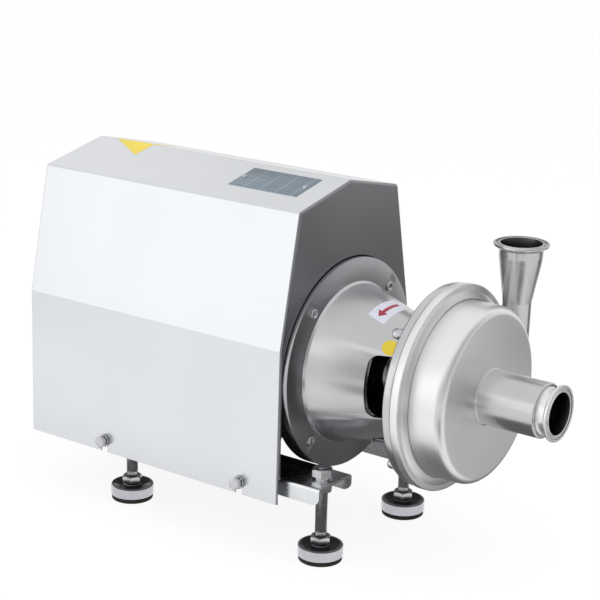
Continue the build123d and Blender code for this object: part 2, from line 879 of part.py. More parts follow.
def make_casing():
    """Round casing with its rear flange and the hole of the discharge nozzle."""
    inner_r = drum_r - drum_wall
    with BuildPart() as casing:
        with BuildSketch(shaft_plane) as profile:
            Polygon(
                (joint_x, inner_r),
                (joint_x, casing_flange_r),
                (casing_x, casing_flange_r),
                (casing_x, drum_r),
                (drum_x, drum_r),
                (drum_x, suction_bore_r),
                (drum_x - drum_wall, suction_bore_r),
                (drum_x - drum_wall, inner_r),
                align=None,
            )
            fillet(corner(profile, drum_x, drum_r), radius=drum_edge_r)
            fillet(corner(profile, drum_x - drum_wall, inner_r), radius=drum_edge_r - drum_wall)
            fillet(corner(profile, casing_x, drum_r), radius=drum_root_r)
            chamfer(corner(profile, casing_x, casing_flange_r), length=casing_flange_edge)
        revolve(axis=shaft_axis)
        with BuildSketch(Plane(origin=(nozzle_x, nozzle_y, axis_z + nozzle_root))):
            Circle(nozzle_bore_r)
        extrude(amount=drum_r, mode=Mode.SUBTRACT)
        with BuildSketch(across(joint_x)):
            with PolarLocations(stud_circle_r, stud_count, stud_angle):
                Circle(stud_r + thread_gap)
        extrude(amount=stud_depth, mode=Mode.SUBTRACT)
    write(casing, "volute_casing")


def draw_port(face, direction, bore_end):
    """Clamp port outline from its face back along a tube, as (along, radius) corners."""
    rim_back = face - direction * port_rim
    taper_back = rim_back - direction * port_taper
    groove_in = port_groove_r - port_groove_width / 2
    groove_out = port_groove_r + port_groove_width / 2
    return [
        (bore_end, port_bore_r),
        (face, port_bore_r),
        (face, groove_in),
        (face - direction * port_groove_depth, groove_in),
        (face - direction * port_groove_depth, groove_out),
        (face, groove_out),
        (face, port_r),
        (rim_back, port_r),
        (taper_back, port_taper_r),
        (taper_back - direction * (port_taper_r - port_neck_r), port_neck_r),
    ]


def make_suction_tube():
    """Suction tube, stepped down to its clamp port."""
    neck_x = inlet_x - port_neck_length - port_rim - port_taper
    shoulder_x = neck_x - suction_shoulder
    with BuildPart() as tube:
        with BuildSketch(shaft_plane) as profile:
            Polygon(
                *draw_port(inlet_x, 1, neck_x),
                (neck_x, port_neck_r),
                (neck_x, suction_r),
                (drum_x + suction_bead, suction_r),
                (drum_x, suction_r + suction_bead),
                (drum_x, suction_bore_r),
                (shoulder_x, suction_bore_r),
                align=None,
            )
            fillet(corner(profile, neck_x, suction_r), radius=suction_shoulder_r)
        revolve(axis=shaft_axis)
    write(tube, "suction_tube")


def make_discharge_nozzle():
    """Tangential nozzle that leans out as it widens to its clamp port, cut to fit the drum."""
    upright = Plane(origin=(nozzle_x, port_y, 0), x_dir=(0, 0, 1), z_dir=(0, 1, 0))
    cone_ends = ((nozzle_y, nozzle_cone_low), (port_y, nozzle_cone_high))
    with BuildPart() as nozzle:
        with BuildSketch(Plane(origin=(nozzle_x, nozzle_y, axis_z + nozzle_root))):
            Circle(nozzle_r)
        extrude(amount=nozzle_cone_low - axis_z - nozzle_root)
        for (y, z), radius in zip(cone_ends, (nozzle_r, port_neck_r)):
            with BuildSketch(Plane(origin=(nozzle_x, y, z))):
                Circle(radius)
        loft()
        with BuildSketch(upright):
            Polygon(
                *draw_port(nozzle_top, 1, nozzle_cone_high),
                (nozzle_cone_high, port_neck_r),
                align=None,
            )
        revolve(axis=Axis((nozzle_x, port_y, 0), (0, 0, 1)))
        with BuildSketch(Plane(origin=(nozzle_x, nozzle_y, axis_z + nozzle_root))):
            Circle(nozzle_bore_r)
        extrude(amount=nozzle_cone_low - axis_z - nozzle_root, mode=Mode.SUBTRACT)
        for (y, z), radius in zip(cone_ends, (nozzle_bore_r, port_bore_r)):
            with BuildSketch(Plane(origin=(nozzle_x, y, z))):
                Circle(radius)
        loft(mode=Mode.SUBTRACT)
        with BuildSketch(shaft_plane) as envelope:
            Polygon(
                (joint_x, 0),
                (joint_x, drum_r + slip_gap),
                (drum_x + slip_gap, drum_r + slip_gap),
                (drum_x + slip_gap, 0),
                align=None,
            )
            fillet(corner(envelope, drum_x + slip_gap, drum_r + slip_gap), radius=drum_edge_r)
        revolve(axis=shaft_axis, mode=Mode.SUBTRACT)
    write(nozzle, "discharge_nozzle")


def make_studs():
    """Four studs in the casing flange and the dome nuts on the lantern side."""
    with BuildPart() as studs:
        with BuildSketch(across(stud_head_x - stud_tail)):
            with PolarLocations(stud_circle_r, stud_count, stud_angle):
                Circle(stud_r)
        extrude(amount=stud_tail + front_flange_thickness + stud_depth - seat_gap)
    write(studs, "casing_studs")

    dome_length = dome_nut_length - dome_nut_hex
    with BuildPart() as nuts:
        with BuildSketch(across(stud_head_x)):
            with PolarLocations(stud_circle_r, stud_count, stud_angle):
                RegularPolygon(dome_nut_flats / 2, hex_sides, major_radius=False)
        extrude(amount=-dome_nut_hex)
        with BuildSketch(across(stud_head_x)):
            with PolarLocations(stud_circle_r, stud_count, stud_angle):
                Circle(dome_nut_dome_r)
        extrude(amount=-dome_nut_length)
        fillet(nuts.edges().group_by(Axis.X)[0], radius=dome_nut_tip_r)
        with BuildSketch(across(stud_head_x)):
            with PolarLocations(stud_circle_r, stud_count, stud_angle):
                Circle(stud_r + thread_gap)
        extrude(amount=-(stud_tail + seat_gap), mode=Mode.SUBTRACT)
    write(nuts, "dome_nuts")


def make_stub_shaft():
    """Stub shaft: sleeve on the motor shaft, seal seat, impeller seat and thread."""
    start_x = mount_x + sleeve_start
    step_x = mount_x + sleeve_end
    bore_end = motor_x + shaft_length + shaft_gap
    thread_x = impeller_x + impeller_disc + impeller_hub_length
    key_top = shaft_r - key_sink + key_height
    with BuildPart() as stub:
        with BuildSketch(shaft_plane):
            Polygon(
                (start_x, shaft_r + slip_gap),
                (start_x, sleeve_r),
                (step_x, sleeve_r),
                (step_x + sleeve_r - stub_r, stub_r),
                (impeller_x, stub_r),
                (impeller_x, impeller_seat_r),
                (thread_x, impeller_seat_r),
                (thread_x, impeller_thread_r),
                (thread_x + impeller_thread_length, impeller_thread_r),
                (thread_x + impeller_thread_length, 0),
                (bore_end, 0),
                (bore_end, shaft_r + slip_gap),
                align=None,
            )
        revolve(axis=shaft_axis)
        with BuildSketch(Plane(origin=(start_x, 0, axis_z))):
            Rectangle(
                bore_end - start_x, key_width + 2 * slip_gap, align=(Align.MIN, Align.CENTER)
            )
        extrude(amount=key_top + slip_gap, mode=Mode.SUBTRACT)
        with BuildSketch(Plane(origin=(start_x, 0, axis_z))):
            with Locations([(set_screw_setback, 0), (set_screw_setback + set_screw_pitch, 0)]):
                Circle(set_screw_r + thread_gap)
        extrude(amount=-sleeve_r, mode=Mode.SUBTRACT)
    write(stub, "stub_shaft")

    with BuildPart() as screws:
        with BuildSketch(Plane(origin=(start_x, 0, axis_z - shaft_r - slip_gap))):
            with Locations([(set_screw_setback, 0), (set_screw_setback + set_screw_pitch, 0)]):
                Circle(set_screw_r)
        extrude(amount=-(sleeve_r - shaft_r - 2 * slip_gap))
    write(screws, "set_screws")


def make_impeller():
    """Open impeller: disc with hub, balance holes and swept blades that thin out forward."""
    front_x = impeller_x + impeller_disc
    nose_x = front_x + impeller_hub_length
    tip_x = drum_x - drum_wall - impeller_front_gap
    bow_angle = radians(blade_sweep / 2 - blade_bow)
    bow_r = (blade_inner_r + impeller_r) / 2
    end_angle = radians(blade_sweep)
    with BuildSketch() as blade:
        with BuildLine():
            ThreePointArc(
                (blade_inner_r, 0),
                (bow_r * cos(bow_angle), bow_r * sin(bow_angle)),
                (impeller_r * cos(end_angle), impeller_r * sin(end_angle)),
            )
        trace(line_width=blade_thickness)

    with BuildPart() as impeller:
        with BuildSketch(across(impeller_x)):
            with PolarLocations(0, blade_count):
                add(blade.sketch)
        extrude(amount=tip_x - impeller_x)
        with BuildSketch(shaft_plane):
            Polygon(
                (impeller_x, 0),
                (impeller_x, impeller_r),
                (front_x + blade_outer_depth, impeller_r),
                (tip_x, blade_inner_r + blade_thickness),
                (tip_x, 0),
                align=None,
            )
        revolve(axis=shaft_axis, mode=Mode.INTERSECT)
        with BuildSketch(shaft_plane):
            Polygon(
                (impeller_x, 0),
                (impeller_x, impeller_r),
                (front_x, impeller_r),
                (front_x, impeller_hub_r),
                (nose_x, impeller_nut_r),
                (nose_x, 0),
                align=None,
            )
        revolve(axis=shaft_axis)
        with BuildSketch(across(impeller_x)):
            Circle(impeller_seat_r + slip_gap)
        extrude(amount=tip_x - impeller_x, mode=Mode.SUBTRACT)
        with BuildSketch(across(impeller_x)):
            with PolarLocations(balance_circle_r, blade_count, balance_angle):
                Circle(balance_hole_r)
        extrude(amount=impeller_disc, mode=Mode.SUBTRACT)
    write(impeller, "impeller")


def make_impeller_nut():
    """Rounded nut on the end of the stub shaft."""
    nut_x = impeller_x + impeller_disc + impeller_hub_length
    with BuildPart() as nut:
        with BuildSketch(across(nut_x)):
            Circle(impeller_nut_r)
        extrude(amount=impeller_nut_length)
        fillet(nut.edges().group_by(Axis.X)[-1], radius=impeller_nut_nose_r)
        with BuildSketch(across(nut_x)):
            Circle(impeller_thread_r + thread_gap)
        extrude(amount=impeller_thread_length + seat_gap, mode=Mode.SUBTRACT)
    write(nut, "impeller_nut")


def make_seal():
    """Shaft seal: fixed seat, turning ring and the bellows that presses it."""
    seat_x = chamber_x - seal_seat_depth
    ring_x = chamber_x + seal_seat_proud + seal_face_gap
    bellows_x = ring_x + seal_ring_width
    seat_length = seal_seat_depth + seal_seat_proud
    make_ring("seal_seat", seat_x, seat_length, seal_seat_r, stub_r + shaft_gap)
    make_ring("seal_ring", ring_x, seal_ring_width, seal_ring_r, stub_r + slip_gap)
    fold = (impeller_x - bellows_x) / spring_turns
    with BuildPart() as bellows:
        for turn in range(spring_turns):
            with BuildSketch(shaft_plane):
                Polygon(
                    (bellows_x + turn * fold, stub_r + slip_gap),
                    (bellows_x + turn * fold, spring_inner_r),
                    (bellows_x + turn * fold + fold / 2, spring_r),
                    (bellows_x + (turn + 1) * fold, spring_inner_r),
                    (bellows_x + (turn + 1) * fold, stub_r + slip_gap),
                    align=None,
                )
            revolve(axis=shaft_axis)
    write(bellows, "seal_spring")


# Hood


def make_hood():
    """Folded hood with an arch for the flange, screw slots open below and rear vents."""
    rear_x = hood_x - hood_length
    outline = [
        (-hood_bottom_half, hood_bottom),
        (-hood_fold_half, hood_fold_height),
        (-hood_eave_half, hood_eave_height),
        (0, hood_ridge),
        (hood_eave_half, hood_eave_height),
        (hood_fold_half, hood_fold_height),
        (hood_bottom_half, hood_bottom),
    ]
    leg_half = motor_flange_r + arch_leg_gap
    inner_half = hood_half_width(arch_leg_end) - hood_sheet
    with BuildPart() as hood:
        with BuildSketch(across(rear_x, height=0)) as outside:
            Polygon(*outline, align=None)
            fillet(outside.vertices().group_by(Axis.Y)[1:], radius=hood_fold_r)
        extrude(amount=hood_length)
        ends = hood.edges().group_by(Axis.X)
        above = [edge for edge in ends[0] + ends[-1] if edge.center().Z > hood_bottom + hood_sheet]
        fillet(above, radius=hood_edge_r)
        with BuildSketch(across(rear_x + hood_sheet, height=0)) as inside:
            Polygon(*outline, align=None)
            fillet(inside.vertices().group_by(Axis.Y)[1:], radius=hood_fold_r)
            offset(amount=-hood_sheet)
            with Locations((0, hood_bottom)):
                Rectangle(2 * (hood_bottom_half - hood_sheet), 2 * hood_sheet,
                          align=(Align.CENTER, Align.MIN))
        extrude(amount=hood_length - 2 * hood_sheet, mode=Mode.SUBTRACT)
        with BuildSketch(across(hood_x)):
            Circle(arch_r)
            Rectangle(2 * leg_half, 2 * arch_r, mode=Mode.INTERSECT)
            Rectangle(2 * leg_half, axis_z - hood_bottom + hood_sheet,
                      align=(Align.CENTER, Align.MAX))
        extrude(amount=-hood_edge_r, mode=Mode.SUBTRACT)
        with BuildSketch(across(hood_x, height=arch_leg_end)):
            Rectangle(2 * inner_half, arch_leg_end, align=(Align.CENTER, Align.MAX))
        extrude(amount=-hood_edge_r, mode=Mode.SUBTRACT)
        slot_top = hood_screw_height + hood_screw_r + seat_gap
        with BuildSketch(Plane.XZ):
            for x in hood_screw_xs:
                with Locations((x, slot_top - hood_slot_width / 2)):
                    Circle(hood_slot_width / 2)
                    Rectangle(hood_slot_width, slot_top, align=(Align.CENTER, Align.MAX))
        extrude(amount=hood_bottom_half, both=True, mode=Mode.SUBTRACT)
        with BuildSketch(across(rear_x)):
            with GridLocations(vent_column_pitch, vent_row_pitch, vent_columns, vent_rows):
                SlotOverall(vent_width, vent_height)
        extrude(amount=hood_sheet, mode=Mode.SUBTRACT)
    write(hood, "hood")


def make_hood_screws():
    """Four hexagon screws with a spring washer and a flat washer each."""
    washer_y = hood_half_width(hood_bottom) + hood_washer_gap
    shank_end = (rail_spacing + rail_width) / 2 - rail_sheet
    head_y = washer_y + hood_washer_thickness + hood_spring_washer_thickness
    with BuildPart() as screws:
        for side in (-1, 1):
            for x in hood_screw_xs:
                outward = Plane(
                    origin=(x, 0, hood_screw_height), x_dir=(1, 0, 0), z_dir=(0, side, 0)
                )
                with BuildSketch(outward.offset(shank_end)):
                    Circle(hood_screw_r)
                extrude(amount=head_y - shank_end)
                with BuildSketch(outward.offset(washer_y)):
                    Circle(hood_washer_r)
                extrude(amount=hood_washer_thickness)
                with BuildSketch(outward.offset(washer_y + hood_washer_thickness)):
                    Circle(hood_spring_washer_r)
                extrude(amount=hood_spring_washer_thickness)
                with BuildSketch(outward.offset(head_y)):
                    RegularPolygon(hood_screw_flats / 2, hex_sides, major_radius=False)
                extrude(amount=hood_screw_head)
    write(screws, "hood_screws")


os.makedirs("parts", exist_ok=True)

make_rail(-1, "left_rail")
make_rail(1, "right_rail")
for foot_x, end in zip(foot_xs, ("front", "rear")):
    for foot_side, hand in ((-1, "left"), (1, "right")):
        make_foot(foot_x, foot_side, f"{end}_{hand}")
make_foot_nuts("foot_top_nuts", rail_top, 1)
make_foot_nuts("foot_under_nuts", plate_under, -1)

make_motor_frame()
make_front_shield()
make_rear_shield()
make_ring("stator_core", rear_core_x, core_length, frame_bore_r - slip_gap, stator_inner_r)
make_windings()
make_fan_cowl()
make_terminal_box()
make_foot_bolts()
make_flange_bolts()
make_bearing_outer("front_bearing_outer", front_bearing_x)
make_bearing_outer("rear_bearing_outer", rear_bearing_x)
inner_ring_r = bearing_bore_r + bearing_inner_ring
make_ring("front_bearing_inner", front_bearing_x, bearing_width, inner_ring_r,
          bearing_bore_r + slip_gap)
make_ring("rear_bearing_inner", rear_bearing_x, bearing_width, inner_ring_r,
          bearing_bore_r + slip_gap)
make_motor_shaft()
make_ring("rotor_core", rear_core_x, core_length, stator_inner_r - air_gap,
          core_seat_r + slip_gap)
make_cooling_fan()

make_lantern()
make_back_plate()
make_casing()
make_suction_tube()
make_discharge_nozzle()
make_studs()
make_stub_shaft()
make_impeller()
make_impeller_nut()
make_seal()

make_hood()
make_hood_screws()
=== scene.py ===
"""Looks of a hooded sanitary centrifugal pump on levelling feet, built around its CAD frame."""

import logging
import math
from dataclasses import dataclass, field, replace
from enum import Enum
from typing import Any, Callable, ClassVar, Sequence

import bmesh
import bpy
from mathutils import Matrix, Vector


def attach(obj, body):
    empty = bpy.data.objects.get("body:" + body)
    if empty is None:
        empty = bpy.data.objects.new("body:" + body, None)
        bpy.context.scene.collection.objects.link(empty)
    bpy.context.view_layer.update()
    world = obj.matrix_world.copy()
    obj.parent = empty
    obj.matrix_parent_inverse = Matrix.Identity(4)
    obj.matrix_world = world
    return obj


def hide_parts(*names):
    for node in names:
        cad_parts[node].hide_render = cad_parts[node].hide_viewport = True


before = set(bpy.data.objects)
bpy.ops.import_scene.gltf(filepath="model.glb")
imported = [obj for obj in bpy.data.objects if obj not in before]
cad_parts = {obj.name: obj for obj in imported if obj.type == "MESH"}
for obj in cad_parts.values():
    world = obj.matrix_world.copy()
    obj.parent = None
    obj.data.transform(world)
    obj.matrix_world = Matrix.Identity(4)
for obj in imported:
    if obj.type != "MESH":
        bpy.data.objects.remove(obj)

Piece = bpy.types.Object
Point = tuple[float, float, float]

MM = 0.001
# Points nearer than this many metres are one
MERGE = 1e-6
# Facets of a rounding, and of a broken edge under a millimetre
ROUND_FACETS, EDGE_FACETS = 8, 2
# Most of a side that the rounding of one corner may take, so that two never meet
MOST_OF_SIDE = 0.48
# Kept off half a slot's width, so that its two roundings leave a face between them
SLOT_PLAY = 0.01
# Rim of a hexagon's flat end and countersink of its bore, as shares of flats and bore
HEX_RIM, HEX_SINK = 0.475, 0.12
HEX_CHAMFER = math.radians(30)
# Depth of a thread as a share of its pitch, its facets a turn, and the turns cut off each end
THREAD_DEPTH, THREAD_FACETS, SPARE_TURNS = 0.6, 28, 2
# Marks of a brushed sheet are fifty times as long as they are wide
BRUSH_STRETCH = 0.02
# Radians a unit of Blender's wave texture
WAVE_RATE = 20
# A face whose normal leans this much towards its own centre line is inside a bore
INWARD = -0.5

log = logging.getLogger("pump")


# Drawing aids


class Heading(Enum):
    """Ways that a centre line can point."""

    FORWARD = (1.0, 0.0, 0.0)
    BACKWARD = (-1.0, 0.0, 0.0)
    LEFT = (0.0, -1.0, 0.0)
    RIGHT = (0.0, 1.0, 0.0)
    UP = (0.0, 0.0, 1.0)
    DOWN = (0.0, 0.0, -1.0)


@dataclass(frozen=True)
class Line:
    """Centre line of a round piece: a point on it in millimetres, and its heading."""

    origin: Point
    heading: Heading

    @property
    def along(self) -> Vector:
        """Unit vector along the line."""
        return Vector(self.heading.value)

    @property
    def aside(self) -> Vector:
        """Unit vector square to the line."""
        upright = self.heading in (Heading.UP, Heading.DOWN)
        return Vector((1.0, 0.0, 0.0)) if upright else Vector((0.0, 0.0, 1.0))

    def at(self, distance: float, radius: float = 0.0) -> Vector:
        """Point beside the line.

        Args:
            distance: Millimetres along the line from its origin.
            radius: Millimetres out from the line.

        Returns:
            The point in metres.
        """
        return (Vector(self.origin) + distance * self.along + radius * self.aside) * MM


@dataclass(frozen=True)
class Corner:
    """Corner of a turned outline, in millimetres: place along the line, radius and rounding."""

    distance: float
    radius: float
    rounding: float = 0.3


def deselect() -> None:
    """Leave nothing selected, in object mode."""
    if bpy.context.object and bpy.context.object.mode != "OBJECT":
        bpy.ops.object.mode_set(mode="OBJECT")
    bpy.ops.object.select_all(action="DESELECT")


def pick(piece: Piece) -> None:
    """Select one piece alone and make it active.

    Args:
        piece: The piece.
    """
    deselect()
    piece.select_set(True)
    bpy.context.view_layer.objects.active = piece


def choose(piece: Piece, kind: str, test: Callable[[Any], bool]) -> int:
    """Select parts of the mesh in edit mode by their place or direction.

    Args:
        piece: The piece in edit mode.
        kind: "verts", "edges" or "faces".
        test: Says whether a vertex, edge or face is wanted.

    Returns:
        How many were selected.
    """
    modes = {"verts": "VERT", "edges": "EDGE", "faces": "FACE"}
    bpy.ops.mesh.select_mode(type=modes[kind])
    bpy.ops.mesh.select_all(action="DESELECT")
    mesh = bmesh.from_edit_mesh(piece.data)
    mesh.normal_update()
    found = [item for item in getattr(mesh, kind) if test(item)]
    for item in found:
        item.select = True
    mesh.select_flush_mode()
    bmesh.update_edit_mesh(piece.data)
    return len(found)


def start_point(name: str, place: Vector) -> Piece:
    """Begin a drawn outline with a single vertex, left in edit mode.

    Args:
        name: The new piece's name.
        place: The vertex's place in metres.

    Returns:
        The new piece.
    """
    deselect()
    bpy.ops.mesh.primitive_plane_add(size=MM, location=(0.0, 0.0, 0.0))
    piece = bpy.context.object
    piece.name = name
    bpy.ops.object.mode_set(mode="EDIT")
    bpy.ops.mesh.select_mode(type="VERT")
    bpy.ops.mesh.select_all(action="SELECT")
    bpy.ops.mesh.merge(type="CENTER")
    bpy.ops.transform.translate(value=place)
    return piece


def draw_to(step: Vector) -> None:
    """Extrude the last drawn vertex by a step in metres."""
    bpy.ops.mesh.extrude_vertices_move(TRANSFORM_OT_translate={"value": step})


def round_corner(piece: Piece, place: Vector, before: Vector, after: Vector, radius: float) -> None:
    """Round one corner of a drawn outline.

    Args:
        piece: The piece in edit mode.
        place: The corner in metres.
        before: The corner before it.
        after: The corner after it.
        radius: The rounding in millimetres.
    """
    back, ahead = before - place, after - place
    reach = radius * MM / math.tan(back.angle(ahead) / 2)
    reach = min(reach, MOST_OF_SIDE * back.length, MOST_OF_SIDE * ahead.length)
    choose(piece, "verts", lambda vert: (vert.co - place).length < MERGE)
    segments = EDGE_FACETS if radius < 1 else ROUND_FACETS
    bpy.ops.mesh.bevel(offset=reach, segments=segments, profile=0.5, affect="VERTICES")


def close_mesh(piece: Piece, angle: float = 32.0) -> Piece:
    """Merge doubles, turn faces outwards, seat the object at the origin and smooth it.

    Args:
        piece: The piece, in either mode.
        angle: Faces that meet at less than this many degrees shade smoothly.

    Returns:
        The same piece.
    """
    pick(piece)
    bpy.ops.object.transform_apply(location=True, rotation=True, scale=True)
    bpy.ops.object.mode_set(mode="EDIT")
    bpy.ops.mesh.select_all(action="SELECT")
    bpy.ops.mesh.remove_doubles(threshold=MERGE)
    bpy.ops.mesh.normals_make_consistent(inside=False)
    bpy.ops.object.mode_set(mode="OBJECT")
    bpy.ops.object.shade_smooth_by_angle(angle=math.radians(angle))
    return piece


def turned(name: str, line: Line, outline: Sequence[Corner], steps: int = 144) -> Piece:
    """Draw an outline beside a line, round its corners and spin it round.

    Args:
        name: The new piece's name.
        line: The centre line.
        outline: The corners in order. It is closed, unless both ends stand on the line.
        steps: Facets round the line.

    Returns:
        The finished piece.
    """
    places = [line.at(corner.distance, corner.radius) for corner in outline]
    closed = outline[0].radius > 0 or outline[-1].radius > 0
    piece = start_point(name, places[0])
    for here, place in zip(places, places[1:]):
        draw_to(place - here)
    if closed:
        draw_to(places[0] - places[-1])
        bpy.ops.mesh.select_all(action="SELECT")
        bpy.ops.mesh.remove_doubles(threshold=MERGE)
    for index, corner in enumerate(outline):
        inner = closed or 0 < index < len(outline) - 1
        if corner.rounding > 0 and inner:
            before, after = places[index - 1], places[(index + 1) % len(places)]
            round_corner(piece, places[index], before, after, corner.rounding)
    bpy.ops.mesh.select_all(action="SELECT")
    bpy.ops.mesh.spin(steps=steps, angle=math.tau, center=line.at(0), axis=line.along)
    return close_mesh(piece)


def rod_outline(start: float, end: float, radius: float) -> list[Corner]:
    """Sharp outline of a solid rod between two distances along its line."""
    return [Corner(start, 0, 0), Corner(start, radius, 0), Corner(end, radius, 0), Corner(end, 0, 0)]


def ring_outline(start: float, end: float, inner: float, outer: float) -> list[Corner]:
    """Outline of a flat ring with broken edges between two distances along its line."""
    return [Corner(start, inner), Corner(start, outer), Corner(end, outer), Corner(end, inner)]


def apply_modifier(piece: Piece, kind: str, **settings: Any) -> None:
    """Add a modifier, set it and apply it.

    Args:
        piece: The piece to change.
        kind: Blender's modifier type.
        settings: The modifier's properties.
    """
    pick(piece)
    bpy.ops.object.modifier_add(type=kind)
    modifier = piece.modifiers[-1]
    for key, value in settings.items():
        setattr(modifier, key, value)
    bpy.ops.object.modifier_apply(modifier=modifier.name)


def break_edges(piece: Piece, width: float, angle: float) -> None:
    """Bevel a piece's sharp edges.

    Args:
        piece: The piece to change.
        width: Width of the bevel in millimetres.
        angle: Least angle in degrees between the faces of a bevelled edge.
    """
    limit = math.radians(angle)
    settings = {"segments": EDGE_FACETS, "limit_method": "ANGLE", "angle_limit": limit}
    apply_modifier(piece, "BEVEL", width=width * MM, **settings)


def carve(piece: Piece, cutter: Piece, operation: str = "DIFFERENCE") -> Piece:
    """Cut a piece with a tool body, which is then removed.

    Args:
        piece: The piece to cut.
        cutter: The tool body.
        operation: Blender's boolean operation.

    Returns:
        The cut piece.
    """
    apply_modifier(piece, "BOOLEAN", operation=operation, object=cutter, solver="EXACT")
    bpy.data.objects.remove(cutter, do_unlink=True)
    return piece


def block(name: str, low: Point, high: Point, rounding: float = 0.0, axis: int = 1) -> Piece:
    """Rounded block between two corners.

    Args:
        name: The new piece's name.
        low: Lowest corner in millimetres.
        high: Highest corner in millimetres.
        rounding: Radius of its four edges along the axis.
        axis: 0, 1 or 2 for X, Y or Z.

    Returns:
        The block.
    """
    deselect()
    bpy.ops.mesh.primitive_cube_add(size=1.0, location=(Vector(low) + Vector(high)) * MM / 2)
    piece = bpy.context.object
    piece.name = name
    bpy.ops.transform.resize(value=(Vector(high) - Vector(low)) * MM)
    bpy.ops.object.transform_apply(location=True, rotation=True, scale=True)
    if rounding:
        bpy.ops.object.mode_set(mode="EDIT")
        choose(piece, "edges", lambda edge: abs((edge.verts[0].co - edge.verts[1].co)[axis]) > 10 * MERGE)
        bpy.ops.mesh.bevel(
            offset=rounding * MM, segments=ROUND_FACETS, profile=0.5, affect="EDGES"
        )
        bpy.ops.object.mode_set(mode="OBJECT")
    return piece


def prism(
    name: str, outline: Sequence[tuple[float, float]], low: float, high: float, rounding: float
) -> Piece:
    """Upright prism with rounded corners.

    Args:
        name: The new piece's name.
        outline: Its corners in plan, in millimetres.
        low: Height of its underside.
        high: Height of its top.
        rounding: Radius of its corners.

    Returns:
        The prism.
    """
    corners = [Vector((*corner, low)) * MM for corner in outline]
    start = (corners[-1] + corners[0]) / 2
    places = [start, *corners, start]
    piece = start_point(name, start)
    for here, place in zip(places, places[1:]):
        draw_to(place - here)
    bpy.ops.mesh.select_all(action="SELECT")
    bpy.ops.mesh.remove_doubles(threshold=MERGE)
    for before, place, after in zip(places, places[1:], places[2:]):
        round_corner(piece, place, before, after, rounding)
    bpy.ops.mesh.select_all(action="SELECT")
    bpy.ops.mesh.edge_face_add()
    step = Vector((0.0, 0.0, (high - low) * MM))
    bpy.ops.mesh.extrude_region_move(TRANSFORM_OT_translate={"value": step})
    return close_mesh(piece)


def hexagon(
    name: str, line: Line, flats: float, height: float, bore: float = 0.0, turn: float = 0.0
) -> Piece:
    """Hexagon nut or screw head with chamfered corners, standing on the line's origin.

    Args:
        name: The new piece's name.
        line: The centre line.
        flats: Width across flats.
        height: Its height.
        bore: Radius of its hole, or 0 for a solid head.
        turn: Turn of its corners about the line, in degrees.

    Returns:
        The finished piece.
    """
    corner_r = flats / math.sqrt(3)
    rim_r = HEX_RIM * flats
    slope = (corner_r - rim_r) * math.tan(HEX_CHAMFER)
    deselect()
    tilt = line.along.to_track_quat("Z", "Y").to_matrix()
    spin = Matrix.Rotation(math.radians(turn), 3, "Z")
    bpy.ops.mesh.primitive_cylinder_add(
        vertices=6,
        radius=corner_r * MM,
        depth=height * MM,
        location=line.at(height / 2),
        rotation=(tilt @ spin).to_euler(),
    )
    piece = bpy.context.object
    piece.name = name
    bpy.ops.object.transform_apply(location=True, rotation=True, scale=True)
    outline = [
        Corner(0, rim_r, 0),
        Corner(slope, corner_r, 0),
        Corner(height - slope, corner_r, 0),
        Corner(height, rim_r, 0),
    ]
    if bore:
        sink = HEX_SINK * bore
        outline += [
            Corner(height, bore + sink, 0),
            Corner(height - sink, bore, 0),
            Corner(sink, bore, 0),
            Corner(0, bore + sink, 0),
        ]
    else:
        outline = [Corner(0, 0, 0), *outline, Corner(height, 0, 0)]
    carve(piece, turned("barrel", line, outline, steps=72), "INTERSECT")
    return close_mesh(piece, angle=20)


def thread(name: str, line: Line, radius: float, pitch: float, length: float) -> Piece:
    """Screw thread on a stem, squared off at both ends.

    Args:
        name: The new piece's name.
        line: The centre line, from the stem's first end.
        radius: Radius over the crests.
        pitch: Rise of each turn.
        length: Length of the stem.

    Returns:
        The finished piece.
    """
    root = radius - THREAD_DEPTH * pitch
    valley, crest = pitch / 4, pitch / 8
    flank = (pitch - valley - crest) / 2
    piece = start_point(name, Vector((root, 0.0, 0.0)) * MM)
    for out, up in ((0, valley), (radius - root, flank), (0, crest), (root - radius, flank)):
        draw_to(Vector((out, 0.0, up)) * MM)
    deselect()
    turns = math.ceil(length / pitch) + 2 * SPARE_TURNS
    spare = SPARE_TURNS * pitch
    apply_modifier(
        piece,
        "SCREW",
        screw_offset=pitch * MM,
        iterations=turns,
        steps=THREAD_FACETS,
        render_steps=THREAD_FACETS,
        use_merge_vertices=True,
        merge_threshold=MERGE,
    )
    bpy.ops.object.mode_set(mode="EDIT")
    for height, side in ((spare, -1), (spare + length, 1)):
        bpy.ops.mesh.select_all(action="SELECT")
        bpy.ops.mesh.bisect(
            plane_co=(0.0, 0.0, height * MM),
            plane_no=(0.0, 0.0, float(side)),
            use_fill=True,
            clear_outer=True,
        )
    bpy.ops.object.mode_set(mode="OBJECT")
    bpy.ops.transform.translate(value=line.at(0) - Vector((0.0, 0.0, spare * MM)))
    return close_mesh(piece, angle=25)


def turn_about_shaft(turn: float) -> None:
    """Turn what is selected about the shaft line by an angle in degrees."""
    bpy.ops.transform.rotate(
        value=math.radians(turn), orient_axis="X", center_override=SHAFT.at(0)
    )


def copied(piece: Piece, name: str, shift: Point = (0, 0, 0), turn: float = 0.0) -> Piece:
    """Copy a piece with its own mesh, shifted, or turned about the shaft line.

    Args:
        piece: The piece to copy.
        name: The copy's name.
        shift: Shift in millimetres.
        turn: Turn about the shaft line in degrees.

    Returns:
        The copy.
    """
    pick(piece)
    bpy.ops.object.duplicate(linked=False)
    copy = bpy.context.object
    copy.name = name
    if turn:
        turn_about_shaft(turn)
    bpy.ops.transform.translate(value=Vector(shift) * MM)
    bpy.ops.object.transform_apply(location=True, rotation=True, scale=True)
    return copy


